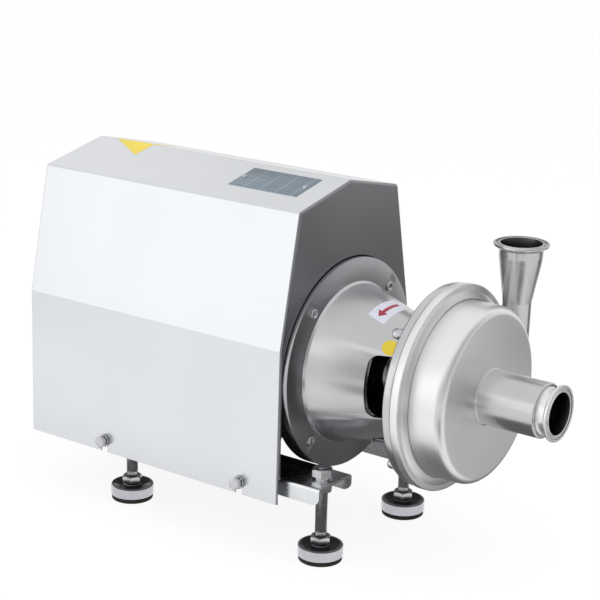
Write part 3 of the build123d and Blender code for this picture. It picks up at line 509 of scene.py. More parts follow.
def joined(name: str, pieces: Sequence[Piece]) -> Piece:
    """Join pieces into one.

    Args:
        name: The joined piece's name.
        pieces: The pieces, of which the first stays.

    Returns:
        The joined piece.
    """
    pick(pieces[0])
    for piece in pieces:
        piece.select_set(True)
    bpy.ops.object.join()
    pieces[0].name = name
    return pieces[0]


def ring_of(name: str, piece: Piece, count: int) -> Piece:
    """Repeat a piece evenly round the shaft line and join the ring.

    Args:
        name: The ring's name.
        piece: The first one.
        count: How many there are.

    Returns:
        The joined ring.
    """
    copies = [copied(piece, f"{name}_{i}", turn=i * 360 / count) for i in range(1, count)]
    return joined(name, [piece, *copies])


def diagonal(circle_r: float, x: float, heading: Heading) -> Line:
    """Line beside the shaft's, halfway between above it and right of it."""
    place = circle_r / math.sqrt(2)
    return Line((x, place, SHAFT.origin[2] + place), heading)


SHAFT = Line((0.0, 0.0, 212.0), Heading.FORWARD)


# Finishes


def linear(colour: str) -> tuple[float, float, float, float]:
    """Turn an sRGB hex colour to linear values with full alpha.

    Args:
        colour: The colour, as # and six hex digits.

    Returns:
        Red, green, blue and alpha.
    """
    values = [int(colour[i : i + 2], 16) / 255 for i in (1, 3, 5)]
    light = [v / 12.92 if v <= 0.04045 else ((v + 0.055) / 1.055) ** 2.4 for v in values]
    return (*light, 1.0)


def per_metre(size_mm: float) -> float:
    """Scale of a noise whose features are this many millimetres apart."""
    return 1.0 / (size_mm * MM)


def add(
    tree: bpy.types.NodeTree,
    kind: str,
    settings: dict[str, Any] | None = None,
    links: dict[str | int, bpy.types.NodeSocket] | None = None,
) -> bpy.types.Node:
    """Add a node with its settings and links.

    Args:
        tree: The node tree.
        kind: Blender's node type.
        settings: Properties, socket values by name or number, or "stops" of a colour ramp.
        links: Sockets that feed its inputs.

    Returns:
        The node.
    """
    node = tree.nodes.new(kind)
    for key, value in (settings or {}).items():
        if key == "stops":
            for element, (place, colour) in zip(node.color_ramp.elements, value):
                element.position = place
                element.color = linear(colour)
        elif isinstance(key, str) and hasattr(node, key):
            setattr(node, key, value)
        else:
            node.inputs[key].default_value = value
    for key, source in (links or {}).items():
        tree.links.new(source, node.inputs[key])
    return node


class Grain(Enum):
    """Ways that the marks of a finish run over a piece."""

    EVEN = "even in all directions"
    ALONG = "lengthwise, as a sheet is brushed"
    SHAFT = "round the shaft line, as turned"
    UPRIGHT = "round an upright line, as turned"


@dataclass(frozen=True)
class Canvas:
    """Material in the making: its tree, its shader, its fine marks and its broad patches."""

    tree: bpy.types.NodeTree
    shader: bpy.types.Node
    marks: bpy.types.NodeSocket
    patches: bpy.types.NodeSocket

    def tint(self, kind: str, settings: dict[str, Any], links: dict[str | int, Any]) -> None:
        """Add the node that gives the shader its colour."""
        colour = add(self.tree, kind, settings, links).outputs["Color"]
        self.tree.links.new(colour, self.shader.inputs["Base Color"])


@dataclass(frozen=True)
class Finish:
    """What every finish has: a name, two close tones and how it scatters light."""

    name: str
    tone: str
    shade: str
    roughness: float
    swing: float = 0.05
    mark_mm: float = 1.5
    relief_mm: float = 0.01
    patch_mm: float = 70.0
    grain: Grain = Grain.EVEN
    centre: Point = (0.0, 0.0, 0.0)
    metallic: ClassVar[float] = 0.0
    marks_share: ClassVar[float] = 0.35
    least_roughness: ClassVar[float] = 0.02

    def marks_place(self, tree: bpy.types.NodeTree) -> bpy.types.NodeSocket:
        """Coordinates that stretch the marks along the grain.

        Args:
            tree: The material's node tree.

        Returns:
            The socket that feeds the marks.
        """
        place = add(tree, "ShaderNodeTexCoord").outputs["Object"]
        if self.grain is Grain.EVEN:
            return place
        if self.grain is Grain.ALONG:
            stretch = {"Scale": (BRUSH_STRETCH, 1.0, 1.0)}
            return add(tree, "ShaderNodeMapping", stretch, {"Vector": place}).outputs["Vector"]
        upright = self.grain is Grain.UPRIGHT
        shift = {"Location": tuple(-MM * value for value in self.centre)}
        seated = add(tree, "ShaderNodeMapping", shift, {"Vector": place}).outputs["Vector"]
        across = (1.0, 1.0, 0.0) if upright else (0.0, 1.0, 1.0)
        flat = add(tree, "ShaderNodeVectorMath", {"operation": "MULTIPLY", 1: across}, {0: seated})
        radius = add(tree, "ShaderNodeVectorMath", {"operation": "LENGTH"}, {0: flat.outputs[0]})
        parts = add(tree, "ShaderNodeSeparateXYZ", {}, {0: seated})
        along = parts.outputs["Z" if upright else "X"]
        made = add(tree, "ShaderNodeCombineXYZ", {}, {"X": along, "Y": radius.outputs["Value"]})
        return made.outputs["Vector"]

    def material(self) -> bpy.types.Material:
        """The finish's material, made on its first use."""
        return bpy.data.materials.get(self.name) or self.build()

    def build(self) -> bpy.types.Material:
        """Make the material.

        Returns:
            The new material.
        """
        made = bpy.data.materials.new(self.name)
        made.use_nodes = True
        tree = made.node_tree
        shader = tree.nodes["Principled BSDF"]
        shader.inputs["Metallic"].default_value = self.metallic
        fine = {"Scale": per_metre(self.mark_mm), "Detail": 3.0, "Roughness": 0.55}
        marks = add(tree, "ShaderNodeTexNoise", fine, {"Vector": self.marks_place(tree)})
        place = add(tree, "ShaderNodeTexCoord").outputs["Object"]
        broad = {"Scale": per_metre(self.patch_mm), "Detail": 2.0}
        patches = add(tree, "ShaderNodeTexNoise", broad, {"Vector": place})
        self.colour(Canvas(tree, shader, marks.outputs["Fac"], patches.outputs["Fac"]))
        spread = add(
            tree,
            "ShaderNodeMapRange",
            {
                "From Min": 0.3,
                "From Max": 0.7,
                "To Min": max(self.roughness - self.swing, self.least_roughness),
                "To Max": self.roughness + self.swing,
            },
            {"Value": marks.outputs["Fac"]},
        )
        tree.links.new(spread.outputs["Result"], shader.inputs["Roughness"])
        relief = {"Strength": 1.0, "Distance": self.relief_mm * MM}
        bump = add(tree, "ShaderNodeBump", relief, {"Height": marks.outputs["Fac"]})
        tree.links.new(bump.outputs["Normal"], shader.inputs["Normal"])
        self.extras(tree, shader)
        return made

    def colour(self, canvas: Canvas) -> None:
        """Tint the shader between the two tones by broad patches and a little by the marks.

        Args:
            canvas: The material in the making.
        """
        mixed = {"operation": "MULTIPLY_ADD", 1: self.marks_share}
        both = add(canvas.tree, "ShaderNodeMath", mixed, {0: canvas.marks, 2: canvas.patches})
        ramp = {"stops": ((0.45, self.shade), (0.85, self.tone))}
        canvas.tint("ShaderNodeValToRGB", ramp, {"Fac": both.outputs[0]})

    def extras(self, tree: bpy.types.NodeTree, shader: bpy.types.Node) -> None:
        """Settings that only some finishes have."""


@dataclass(frozen=True)
class Metal(Finish):
    """Bare, polished or plated metal."""

    metallic: ClassVar[float] = 1.0


@dataclass(frozen=True)
class Coating(Finish):
    """Paint, plastic, rubber, vinyl or ceramic, with an optional clear top."""

    clear: float = 0.0
    clear_roughness: ClassVar[float] = 0.15

    def extras(self, tree: bpy.types.NodeTree, shader: bpy.types.Node) -> None:
        """Set the clear top."""
        shader.inputs["Coat Weight"].default_value = self.clear
        shader.inputs["Coat Roughness"].default_value = self.clear_roughness


@dataclass(frozen=True)
class Layered(Finish):
    """Stacked sheets or wound wire: bands of two tones along an axis."""

    metallic: ClassVar[float] = 0.85
    band_mm: float = 2.0
    direction: str = "X"

    def colour(self, canvas: Canvas) -> None:
        """Tint the shader in bands, as the edges of sheets or wires show.

        Args:
            canvas: The material in the making.
        """
        place = add(canvas.tree, "ShaderNodeTexCoord").outputs["Object"]
        bands = add(
            canvas.tree,
            "ShaderNodeTexWave",
            {
                "wave_type": "BANDS",
                "bands_direction": self.direction,
                "Scale": per_metre(self.band_mm) / WAVE_RATE,
                "Distortion": 0.6,
            },
            {"Vector": place},
        )
        ramp = {"stops": ((0.2, self.shade), (0.8, self.tone))}
        canvas.tint("ShaderNodeValToRGB", ramp, {"Fac": bands.outputs["Fac"]})


@dataclass(frozen=True)
class Ruled(Finish):
    """Anodised plate with a blank table of fields etched into it."""

    metallic: ClassVar[float] = 0.55
    line: str = "#A3B0BA"

    def colour(self, canvas: Canvas) -> None:
        """Draw thin light rules between empty fields.

        Args:
            canvas: The material in the making.
        """
        place = add(canvas.tree, "ShaderNodeTexCoord").outputs["UV"]
        canvas.tint(
            "ShaderNodeTexBrick",
            {
                "offset": 0.0,
                "Color1": linear(self.tone),
                "Color2": linear(self.shade),
                "Mortar": linear(self.line),
                "Scale": 1.0,
                "Mortar Size": 0.006,
                "Mortar Smooth": 0.3,
                "Brick Width": 0.23,
                "Row Height": 0.105,
            },
            {"Vector": place},
        )


# Satin sheet: stainless steel rolled and fine brushed, so it is pale with a soft, even sheen
SATIN_SHEET = Metal(
    "satin_stainless_sheet", "#D9DBDE", "#D5D7DA", 0.24, 0.015, 1.1, 0.0006, 160, Grain.ALONG
)
# End sheet: the same steel with a darker, quite even tone, which is painted shade for the dim reflection
# of the front panel
END_SHEET = Metal("cross_brushed_end_sheet", "#8F9093", "#8B8C8F", 0.3, 0.015, 1.1, 0.0006, 160)
# Rail channel: the same steel with a rougher brushing and some handling marks
RAIL_SHEET = Metal(
    "brushed_stainless_channel", "#E2E4E6", "#D6D8DB", 0.25, 0.05, 1.0, 0.004, 60, Grain.ALONG
)
# Blasted casing: stainless steel bead blasted to a dull, cloudy grey
BLASTED = Metal("bead_blasted_stainless", "#E8E8E8", "#E1E2E3", 0.36, 0.03, 0.7, 0.003, 90)
# Brushed cone: turned and brushed stainless, with fine rings that blur what it mirrors
BRUSHED_CONE = Metal(
    "turned_stainless_cone", "#C4C5C6", "#BCBDBF", 0.24, 0.025, 0.9, 0.0012, 80, Grain.SHAFT,
    SHAFT.origin,
)
# Brushed flange: the same steel, a little rougher than the cone, with a darker tone that is painted shade
# for the dim reflection of the flange
BRUSHED_FLANGE = Metal(
    "turned_stainless_flange", "#ABACAE", "#A3A4A7", 0.3, 0.025, 0.9, 0.0012, 80, Grain.SHAFT,
    SHAFT.origin,
)
# Turned rings: machined faces and rims, brighter, with closer rings
TURNED = Metal(
    "machined_stainless_face", "#C8C9CA", "#BBBCBE", 0.24, 0.04, 0.8, 0.002, 90, Grain.SHAFT,
    SHAFT.origin,
)
# Polished tube: mechanically polished stainless that mirrors its surroundings softly
POLISHED = Metal(
    "polished_stainless_tube", "#C6C6C7", "#BDBDBF", 0.25, 0.02, 1.2, 0.001, 70, Grain.SHAFT,
    SHAFT.origin,
)
# Clamp port: the same steel, freshly machined, so it is paler
PORT_STEEL = Metal(
    "machined_stainless_port", "#E9E9EA", "#DFDFE1", 0.3, 0.02, 1.0, 0.001, 70, Grain.SHAFT,
    SHAFT.origin,
)
# Tube inside: drawn and pickled stainless, dull, with a dark tone that is painted shade inside the bores
TUBE_INSIDE = Metal("pickled_tube_inside", "#6A6B6E", "#5A5B5E", 0.3, 0.03, 1.2, 0.002, 40)
# Bright fasteners: cold formed stainless, shiny with dull spots
BRIGHT = Metal("bright_stainless_fastener", "#CECED0", "#B4B5B8", 0.20, 0.06, 1.5, 0.004, 9)
# Spring washers: hardened steel, darker than the screws
SPRING = Metal("dark_spring_steel", "#7C7E82", "#5E6064", 0.34, 0.06, 1.5, 0.006, 9)
# Chrome: bright plating over pressed steel, a clear mirror
CHROME = Metal("chrome_plate", "#C4C5CA", "#B8B9BE", 0.07, 0.02, 2.0, 0.0005, 30)
# Cup dish: the same plating, dull, with a dark tone that is painted shade in the recess
DISH = Metal("dull_plated_recess", "#5C5D61", "#4E4F53", 0.2, 0.04, 2.0, 0.002, 20)
# Ground steel: shafts and bearing rings, with fine rings and a soft mirror
GROUND = Metal(
    "ground_steel", "#B4B5B8", "#9FA0A4", 0.22, 0.05, 0.9, 0.004, 40, Grain.SHAFT,
    SHAFT.origin,
)
# Cast impeller: investment cast stainless, polished over a faint grain
CAST_STEEL = Metal("polished_cast_stainless", "#C6C7C9", "#ADAEB1", 0.26, 0.08, 1.6, 0.02, 25)
# Laminations: edges of thin electrical sheets, grey with dark gaps, drawn coarser to show
LAMINATED = Layered("stacked_core_sheets", "#8A8B8E", "#4A4B4E", 0.42, 0.08, 1.2, 0.01)
# Windings: varnished copper wire in close turns, drawn coarser to show
WINDING = Layered(
    "varnished_copper_wire", "#B86F3C", "#5E3219", 0.33, 0.08, 1.4, 0.05, band_mm=2.4,
    direction="DIAGONAL",
)
# Motor paint: black machine enamel with a light orange peel
ENAMEL = Coating(
    "black_machine_enamel", "#1A1B1D", "#111213", 0.38, 0.07, 2.2, 0.05, 60, clear=0.25
)
# Iron paint: the same black on sand cast iron, so the grain shows
CAST_ENAMEL = Coating("black_enamel_on_cast_iron", "#161718", "#0C0D0E", 0.5, 0.08, 2.4, 0.14)
# Plastic: black moulded nylon, with a dull, faintly pebbled skin
NYLON = Coating("black_moulded_nylon", "#1B1B1C", "#131314", 0.48, 0.06, 0.9, 0.03)
# Rubber: black, matt and slightly dusty
RUBBER = Coating("black_moulded_rubber", "#191919", "#0F0F10", 0.78, 0.08, 1.2, 0.05, 12)
# Thermoset: brown terminal board, pressed smooth, so its gloss is dull and even
THERMOSET = Coating("brown_thermoset_board", "#4A3A2C", "#38291D", 0.45, 0.06, 1.0, 0.03)
# Seal faces: lapped silicon carbide and carbon, dark grey with a dull mirror
SEAL_FACE = Coating("lapped_seal_carbide", "#3A3B3F", "#2B2C30", 0.22, 0.05, 0.8, 0.004)
# Plate: blue grey anodised aluminium, satin, with pale etched rules
PLATE = Ruled("blue_grey_anodised_plate", "#76848F", "#6E7B87", 0.36, 0.05, 0.8, 0.006)
# Vinyl films: printed, smooth with a soft gloss
YELLOW_VINYL = Coating("yellow_vinyl_film", "#E6CD2C", "#DEC424", 0.42, 0.04, 2.0, 0.01, clear=0.2)
WHITE_VINYL = Coating("white_vinyl_film", "#E2E2EE", "#D9DAE8", 0.42, 0.04, 2.0, 0.01, clear=0.2)
RED_VINYL = Coating("red_printed_arrow", "#A81C42", "#9A1439", 0.42, 0.04, 2.0, 0.01, clear=0.2)


def dress(piece: Piece, finish: Finish, slot: str, body: str, *nodes: str) -> Piece:
    """Give a piece its finish, seat it on a body and let it stand for CAD nodes.

    Args:
        piece: The finished piece.
        finish: Its finish.
        slot: The record's material slot; not used.
        body: The CAD body that it rides on.
        nodes: CAD nodes that it stands for.

    Returns:
        The same piece.
    """
    piece.data.materials.clear()
    piece.data.materials.append(finish.material())
    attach(piece, body)
    if nodes:
        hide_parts(*nodes)
    log.info("%s: %d faces on %s", piece.name, len(piece.data.polygons), body)
    return piece


def coat_faces(piece: Piece, finish: Finish, test: Callable[[Any], bool]) -> None:
    """Give some faces of a dressed piece a finish of their own.

    Args:
        piece: The piece.
        finish: The finish.
        test: Says whether a face is wanted, by its normal and its centre in metres.
    """
    piece.data.materials.append(finish.material())
    wanted = [face for face in piece.data.polygons if test(face)]
    for face in wanted:
        face.material_index = len(piece.data.materials) - 1
    log.info("%s: %d faces in %s", piece.name, len(wanted), finish.name)


def coat_nodes(finish: Finish, *nodes: str) -> None:
    """Give carried-over CAD nodes their finish.

    Args:
        finish: The finish.
        nodes: Names of the CAD nodes.
    """
    for name in nodes:
        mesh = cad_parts[name].data
        mesh.materials.clear()
        mesh.materials.append(finish.material())
        log.info("%s: %s", name, finish.name)


# Sub-assemblies


@dataclass
class Base:
    """Rails, levelling feet and their nuts."""

    rail_top: float = 100.0
    plate: float = 3.0
    half_spacing: float = 86.5
    front_x: float = 83.65
    rear_x: float = -206.55
    sole_r: float = 25.6
    sole_height: float = 6.0
    cup_r: float = 26.6
    cup_top: float = 19.0
    dish_r: float = 23.0
    dish_depth: float = 4.5
    dish_floor_r: float = 14.0
    dish_margin: float = 0.4
    hub_r: float = 11.0
    hub_top: float = 19.2
    stem_r: float = 7.0
    stem_z: float = 9.2
    stem_length: float = 105.3
    stem_pitch: float = 2.0
    socket_r: float = 7.3
    nut_flats: float = 22.0
    nut_turn: float = 30.0
    nut_height: float = 10.0
    nut_gap: float = 0.3
    washer_r: float = 11.0
    washer_height: float = 2.5

    def build(self) -> None:
        """Build every piece of the base."""
        coat_nodes(RAIL_SHEET, "left_rail", "right_rail")
        ends = {"front": self.front_x, "rear": self.rear_x}
        sides = {"left": -self.half_spacing, "right": self.half_spacing}
        places = {f"{end}_{side}": (ends[end], sides[side]) for end in ends for side in sides}
        first = places["front_left"]
        samples = self.foot_samples(first)
        top, under = self.plate_nuts(first)
        tops, unders = [], []
        for name, place in places.items():
            shift = (place[0] - first[0], place[1] - first[1], 0.0)
            self.foot(name, samples, shift)
            tops.append(copied(top, f"top_nut_{name}", shift))
            unders.append(copied(under, f"under_nut_{name}", shift))
        for sample in (*samples.values(), top, under):
            bpy.data.objects.remove(sample, do_unlink=True)
        for side, nuts in (("top", tops), ("under", unders)):
            whole = joined(f"stem_{side}_nuts", nuts)
            dress(whole, BRIGHT, "fastener_steel", "base", f"foot_{side}_nuts")

    def foot_samples(self, place: tuple[float, float]) -> dict[str, Piece]:
        """Model one foot's pieces.

        Args:
            place: The foot's centre.

        Returns:
            Stem, lock nut, cup and sole by name.
        """
        line = Line((*place, 0.0), Heading.UP)
        start = Line((*place, self.stem_z), Heading.UP)
        stem = thread("stem_sample", start, self.stem_r, self.stem_pitch, self.stem_length)
        nut_line = Line((*place, self.hub_top + self.nut_gap), Heading.UP)
        nut = hexagon(
            "lock_nut_sample", nut_line, self.nut_flats, self.nut_height, self.stem_r,
            self.nut_turn,
        )
        floor = self.cup_top - self.dish_depth
        cup = turned(
            "cup_sample",
            line,
            [
                Corner(self.sole_height, 0),
                Corner(self.sole_height, self.cup_r, 0.6),
                Corner(self.cup_top, self.cup_r, 2.2),
                Corner(self.cup_top, self.dish_r, 1.2),
                Corner(floor, self.dish_floor_r, 2.5),
                Corner(floor, self.hub_r, 1.2),
                Corner(self.hub_top, self.hub_r, 1.0),
                Corner(self.hub_top, self.socket_r, 0.4),
                Corner(self.stem_z - self.nut_gap, self.socket_r, 0.4),
                Corner(self.stem_z - self.nut_gap, 0),
            ],
        )
        sole = turned(
            "sole_sample",
            line,
            [
                Corner(0, 0),
                Corner(0, self.sole_r, 1.2),
                Corner(self.sole_height, self.sole_r, 0.3),
                Corner(self.sole_height, 0),
            ],
        )
        return {"stem": stem, "lock_nut": nut, "cup": cup, "sole": sole}

    def foot(self, name: str, samples: dict[str, Piece], shift: Point) -> None:
        """Copy one foot's pieces to their place.

        Args:
            name: Which foot.
            samples: The modelled pieces.
            shift: Shift from the modelled foot.
        """
        kinds = {
            "stem": (BRIGHT, "fastener_steel", "foot"),
            "lock_nut": (BRIGHT, "fastener_steel", "foot"),
            "cup": (CHROME, "foot_chrome", "pad"),
            "sole": (RUBBER, "rubber", "pad"),
        }
        for kind, (finish, slot, body) in kinds.items():
            copy = copied(samples[kind], f"{kind}_{name}", shift)
            dress(copy, finish, slot, f"{body}_{name}", f"foot_{name}_{kind}")
            if kind == "cup":
                self.shade_dish(copy)

    def shade_dish(self, cup: Piece) -> None:
        """Give the dish round a cup's hub its own finish, whose dark tone is painted shade in the recess.

        Args:
            cup: The dressed cup.
        """
        low, high = (Vector(corner).xy for corner in (cup.bound_box[0], cup.bound_box[6]))
        axis = (low + high) / 2
        hub, dish = self.hub_r * MM, (self.dish_r + self.dish_margin) * MM
        upward = 0.2
        # Painted shade: the upward faces of the dish get a dark tone
        coat_faces(
            cup, DISH,
            lambda face: face.normal.z > upward and hub < (face.center.xy - axis).length < dish,
        )

    def plate_nuts(self, place: tuple[float, float]) -> tuple[Piece, Piece]:
        """Model one washer and nut above the rail plate and one pair below.

        Args:
            place: The foot's centre.

        Returns:
            The upper and the lower pair.
        """
        pairs = []
        for height, heading in (
            (self.rail_top, Heading.UP),
            (self.rail_top - self.plate, Heading.DOWN),
        ):
            line = Line((*place, height), heading)
            outline = ring_outline(
                0, self.washer_height, self.stem_r + self.nut_gap, self.washer_r
            )
            washer = turned("washer", line, outline, 72)
            nut_line = Line(tuple(line.at(self.washer_height) / MM), heading)
            nut = hexagon(
                "plate_nut", nut_line, self.nut_flats, self.nut_height, self.stem_r, self.nut_turn
            )
            pairs.append(joined(f"plate_nut_{heading.name.lower()}", [washer, nut]))
        return pairs[0], pairs[1]


@dataclass
class Motor:
    """Flange motor under the hood: its CAD pieces get their finishes."""

    def build(self) -> None:
        """Dress every piece of the motor."""
        coat_nodes(ENAMEL, "motor_frame", "fan_cowl", "terminal_box", "terminal_box_lid")
        coat_nodes(CAST_ENAMEL, "motor_front_shield", "motor_rear_shield")
        coat_nodes(LAMINATED, "stator_core", "rotor_core")
        coat_nodes(WINDING, "stator_windings")
        coat_nodes(NYLON, "cooling_fan", "cable_gland")
        coat_nodes(THERMOSET, "terminal_block")
        coat_nodes(BRIGHT, "foot_bolts", "shaft_key")
        rings = [f"{end}_bearing_{ring}" for end in ("front", "rear") for ring in ("inner", "outer")]
        coat_nodes(GROUND, "motor_shaft", *rings)


@dataclass
class Lantern:
    """Conical lantern between motor and pump, with its bolts and dome nuts."""

    motor_x: float = 51.05
    mount_x: float = 59.05
    stud_head_x: float = 181.75
    joint_x: float = 192.05
    back_plate_x: float = 187.05
    flange_r: float = 125.0
    spigot_r: float = 90.05
    recess: float = 4.5
    cone_rear_r: float = 94.0
    cone_front_r: float = 57.5
    bead: float = 2.6
    wall: float = 6.0
    front_r: float = 118.0
    front_edge: float = 2.5
    plate_r: float = 99.45
    opening_r: float = 46.0
    window_setback: float = 10.7
    window_length: float = 43.0
    window_low: float = 33.0
    window_high: float = 39.5
    window_r: float = 10.0
    bolt_circle_r: float = 107.5
    bolt_r: float = 6.0
    bolt_flats: float = 19.0
    bolt_head: float = 7.5
    bolt_head_x: float = 39.05
    bolt_proud: float = 2.0
    bolt_play: float = 0.35
    bolt_root: float = 1.0
    bolt_crown: float = 0.2
    bolt_lip: float = 2.2
    dimple_inset: float = 3.4
    dimple: float = 0.9
    flange_margin: float = 0.5
    edge: float = 0.35
    edge_angle: float = 60.0
    stud_circle_r: float = 107.0
    dome_flats: float = 13.0
    dome_hex: float = 6.5
    dome_length: float = 15.0
    dome_bore: float = 4.1
    dome_lap: float = 0.2
    dome_inset: float = 0.3
    dome_skirt: float = 1.8
    dome_taper: float = 0.6
    dome_round: float = 5.0
    dome_wall: float = 1.2
    dome_cavity: float = 5.5

    def build(self) -> None:
        """Build every piece of the lantern."""
        body = dress(self.body(), BRUSHED_CONE, "pump_steel", "base", "adapter_lantern")
        # Painted shade: the mounting flange gets a darker tone than the cone
        flange_end = (self.mount_x + self.flange_margin) * MM
        coat_faces(body, BRUSHED_FLANGE, lambda face: face.center.x < flange_end)
        dress(self.bolts(), BRIGHT, "fastener_steel", "base", "flange_bolts")
        dress(self.dome_nuts(), BRIGHT, "fastener_steel", "base", "dome_nuts")
        coat_nodes(BRIGHT, "casing_studs")

    def body(self) -> Piece:
        """Turn the cone with both flanges, then cut its windows and bolt holes.

        Returns:
            The lantern.
        """
        body = turned(
            "lantern_body",
            SHAFT,
            [
                Corner(self.motor_x, self.spigot_r),
                Corner(self.motor_x, self.flange_r, 0.8),
                Corner(self.mount_x, self.flange_r, 0.8),
                Corner(self.mount_x, self.cone_rear_r + self.bead, 1.2),
                Corner(self.mount_x + self.bead, self.cone_rear_r, 1.0),
                Corner(self.stud_head_x, self.cone_front_r, 0.8),
                Corner(self.stud_head_x, self.front_r, self.front_edge),
                Corner(self.joint_x, self.front_r, 0.6),
                Corner(self.joint_x, self.plate_r),
                Corner(self.back_plate_x, self.plate_r),
                Corner(self.back_plate_x, self.opening_r),
                Corner(self.stud_head_x, self.opening_r),
                Corner(self.stud_head_x, self.cone_front_r - self.wall),
                Corner(self.motor_x + self.recess, self.cone_rear_r - self.wall),
                Corner(self.motor_x + self.recess, self.spigot_r),
            ],
            steps=192,
        )
        end = self.stud_head_x - self.window_setback
        height = SHAFT.origin[2]
        window = block(
            "window",
            (end - self.window_length, -self.cone_rear_r, height - self.window_low),
            (end, self.cone_rear_r, height + self.window_high),
            self.window_r,
        )
        carve(body, window)
        carve(body, self.bolt_drill())
        break_edges(body, self.edge, self.edge_angle)
        return close_mesh(body)

    def bolt_drill(self) -> Piece:
        """Tool body of the four bolt holes, which reaches past both faces of the flange.

        Returns:
            The tool body.
        """
        past = 1.0
        line = diagonal(self.bolt_circle_r, self.motor_x - past, Heading.FORWARD)
        length = self.mount_x - self.motor_x + 2 * past
        outline = rod_outline(0, length, self.bolt_r + self.bolt_play)
        return ring_of("drill", turned("drill", line, outline, 48), 4)

    def bolts(self) -> Piece:
        """Four bolts from the motor side, whose rounded ends show on the flange.

        Returns:
            The joined bolts.
        """
        back, ahead = (
            diagonal(self.bolt_circle_r, self.bolt_head_x, heading)
            for heading in (Heading.BACKWARD, Heading.FORWARD)
        )
        head = hexagon("bolt_head", back, self.bolt_flats, self.bolt_head)
        end = self.mount_x + self.bolt_proud - self.bolt_head_x
        outline = [
            Corner(-self.bolt_root, 0, 0),
            Corner(-self.bolt_root, self.bolt_r, 0),
            Corner(end - self.bolt_crown, self.bolt_r, 1.4),
            Corner(end, self.bolt_r - self.bolt_lip, 0),
            Corner(end - self.dimple, self.bolt_r - self.dimple_inset, 0),
            Corner(end - self.dimple, 0, 0),
        ]
        shank = turned("bolt_shank", ahead, outline, 64)
        return ring_of("flange_bolt_set", joined("flange_bolt", [head, shank]), 4)

    def dome_nuts(self) -> Piece:
        """Four dome nuts on the rear of the front flange.

        Returns:
            The joined nuts.
        """
        line = diagonal(self.stud_circle_r, self.stud_head_x, Heading.BACKWARD)
        base = hexagon("dome_hex", line, self.dome_flats, self.dome_hex, self.dome_bore)
        tip = self.dome_length
        rim = self.dome_flats / 2 - self.dome_inset
        start = self.dome_hex - self.dome_lap
        outline = [
            Corner(start, self.dome_bore, 0),
            Corner(start, rim, 0),
            Corner(self.dome_hex + self.dome_skirt, rim, 1.0),
            Corner(tip, rim - self.dome_taper, self.dome_round),
            Corner(tip, 0, 0),
            Corner(tip - self.dome_wall, 0, 0),
            Corner(tip - self.dome_cavity, self.dome_bore, 0),
        ]
        dome = turned("dome", line, outline, 64)
        return ring_of("dome_nut_set", joined("dome_nut", [base, dome]), 4)


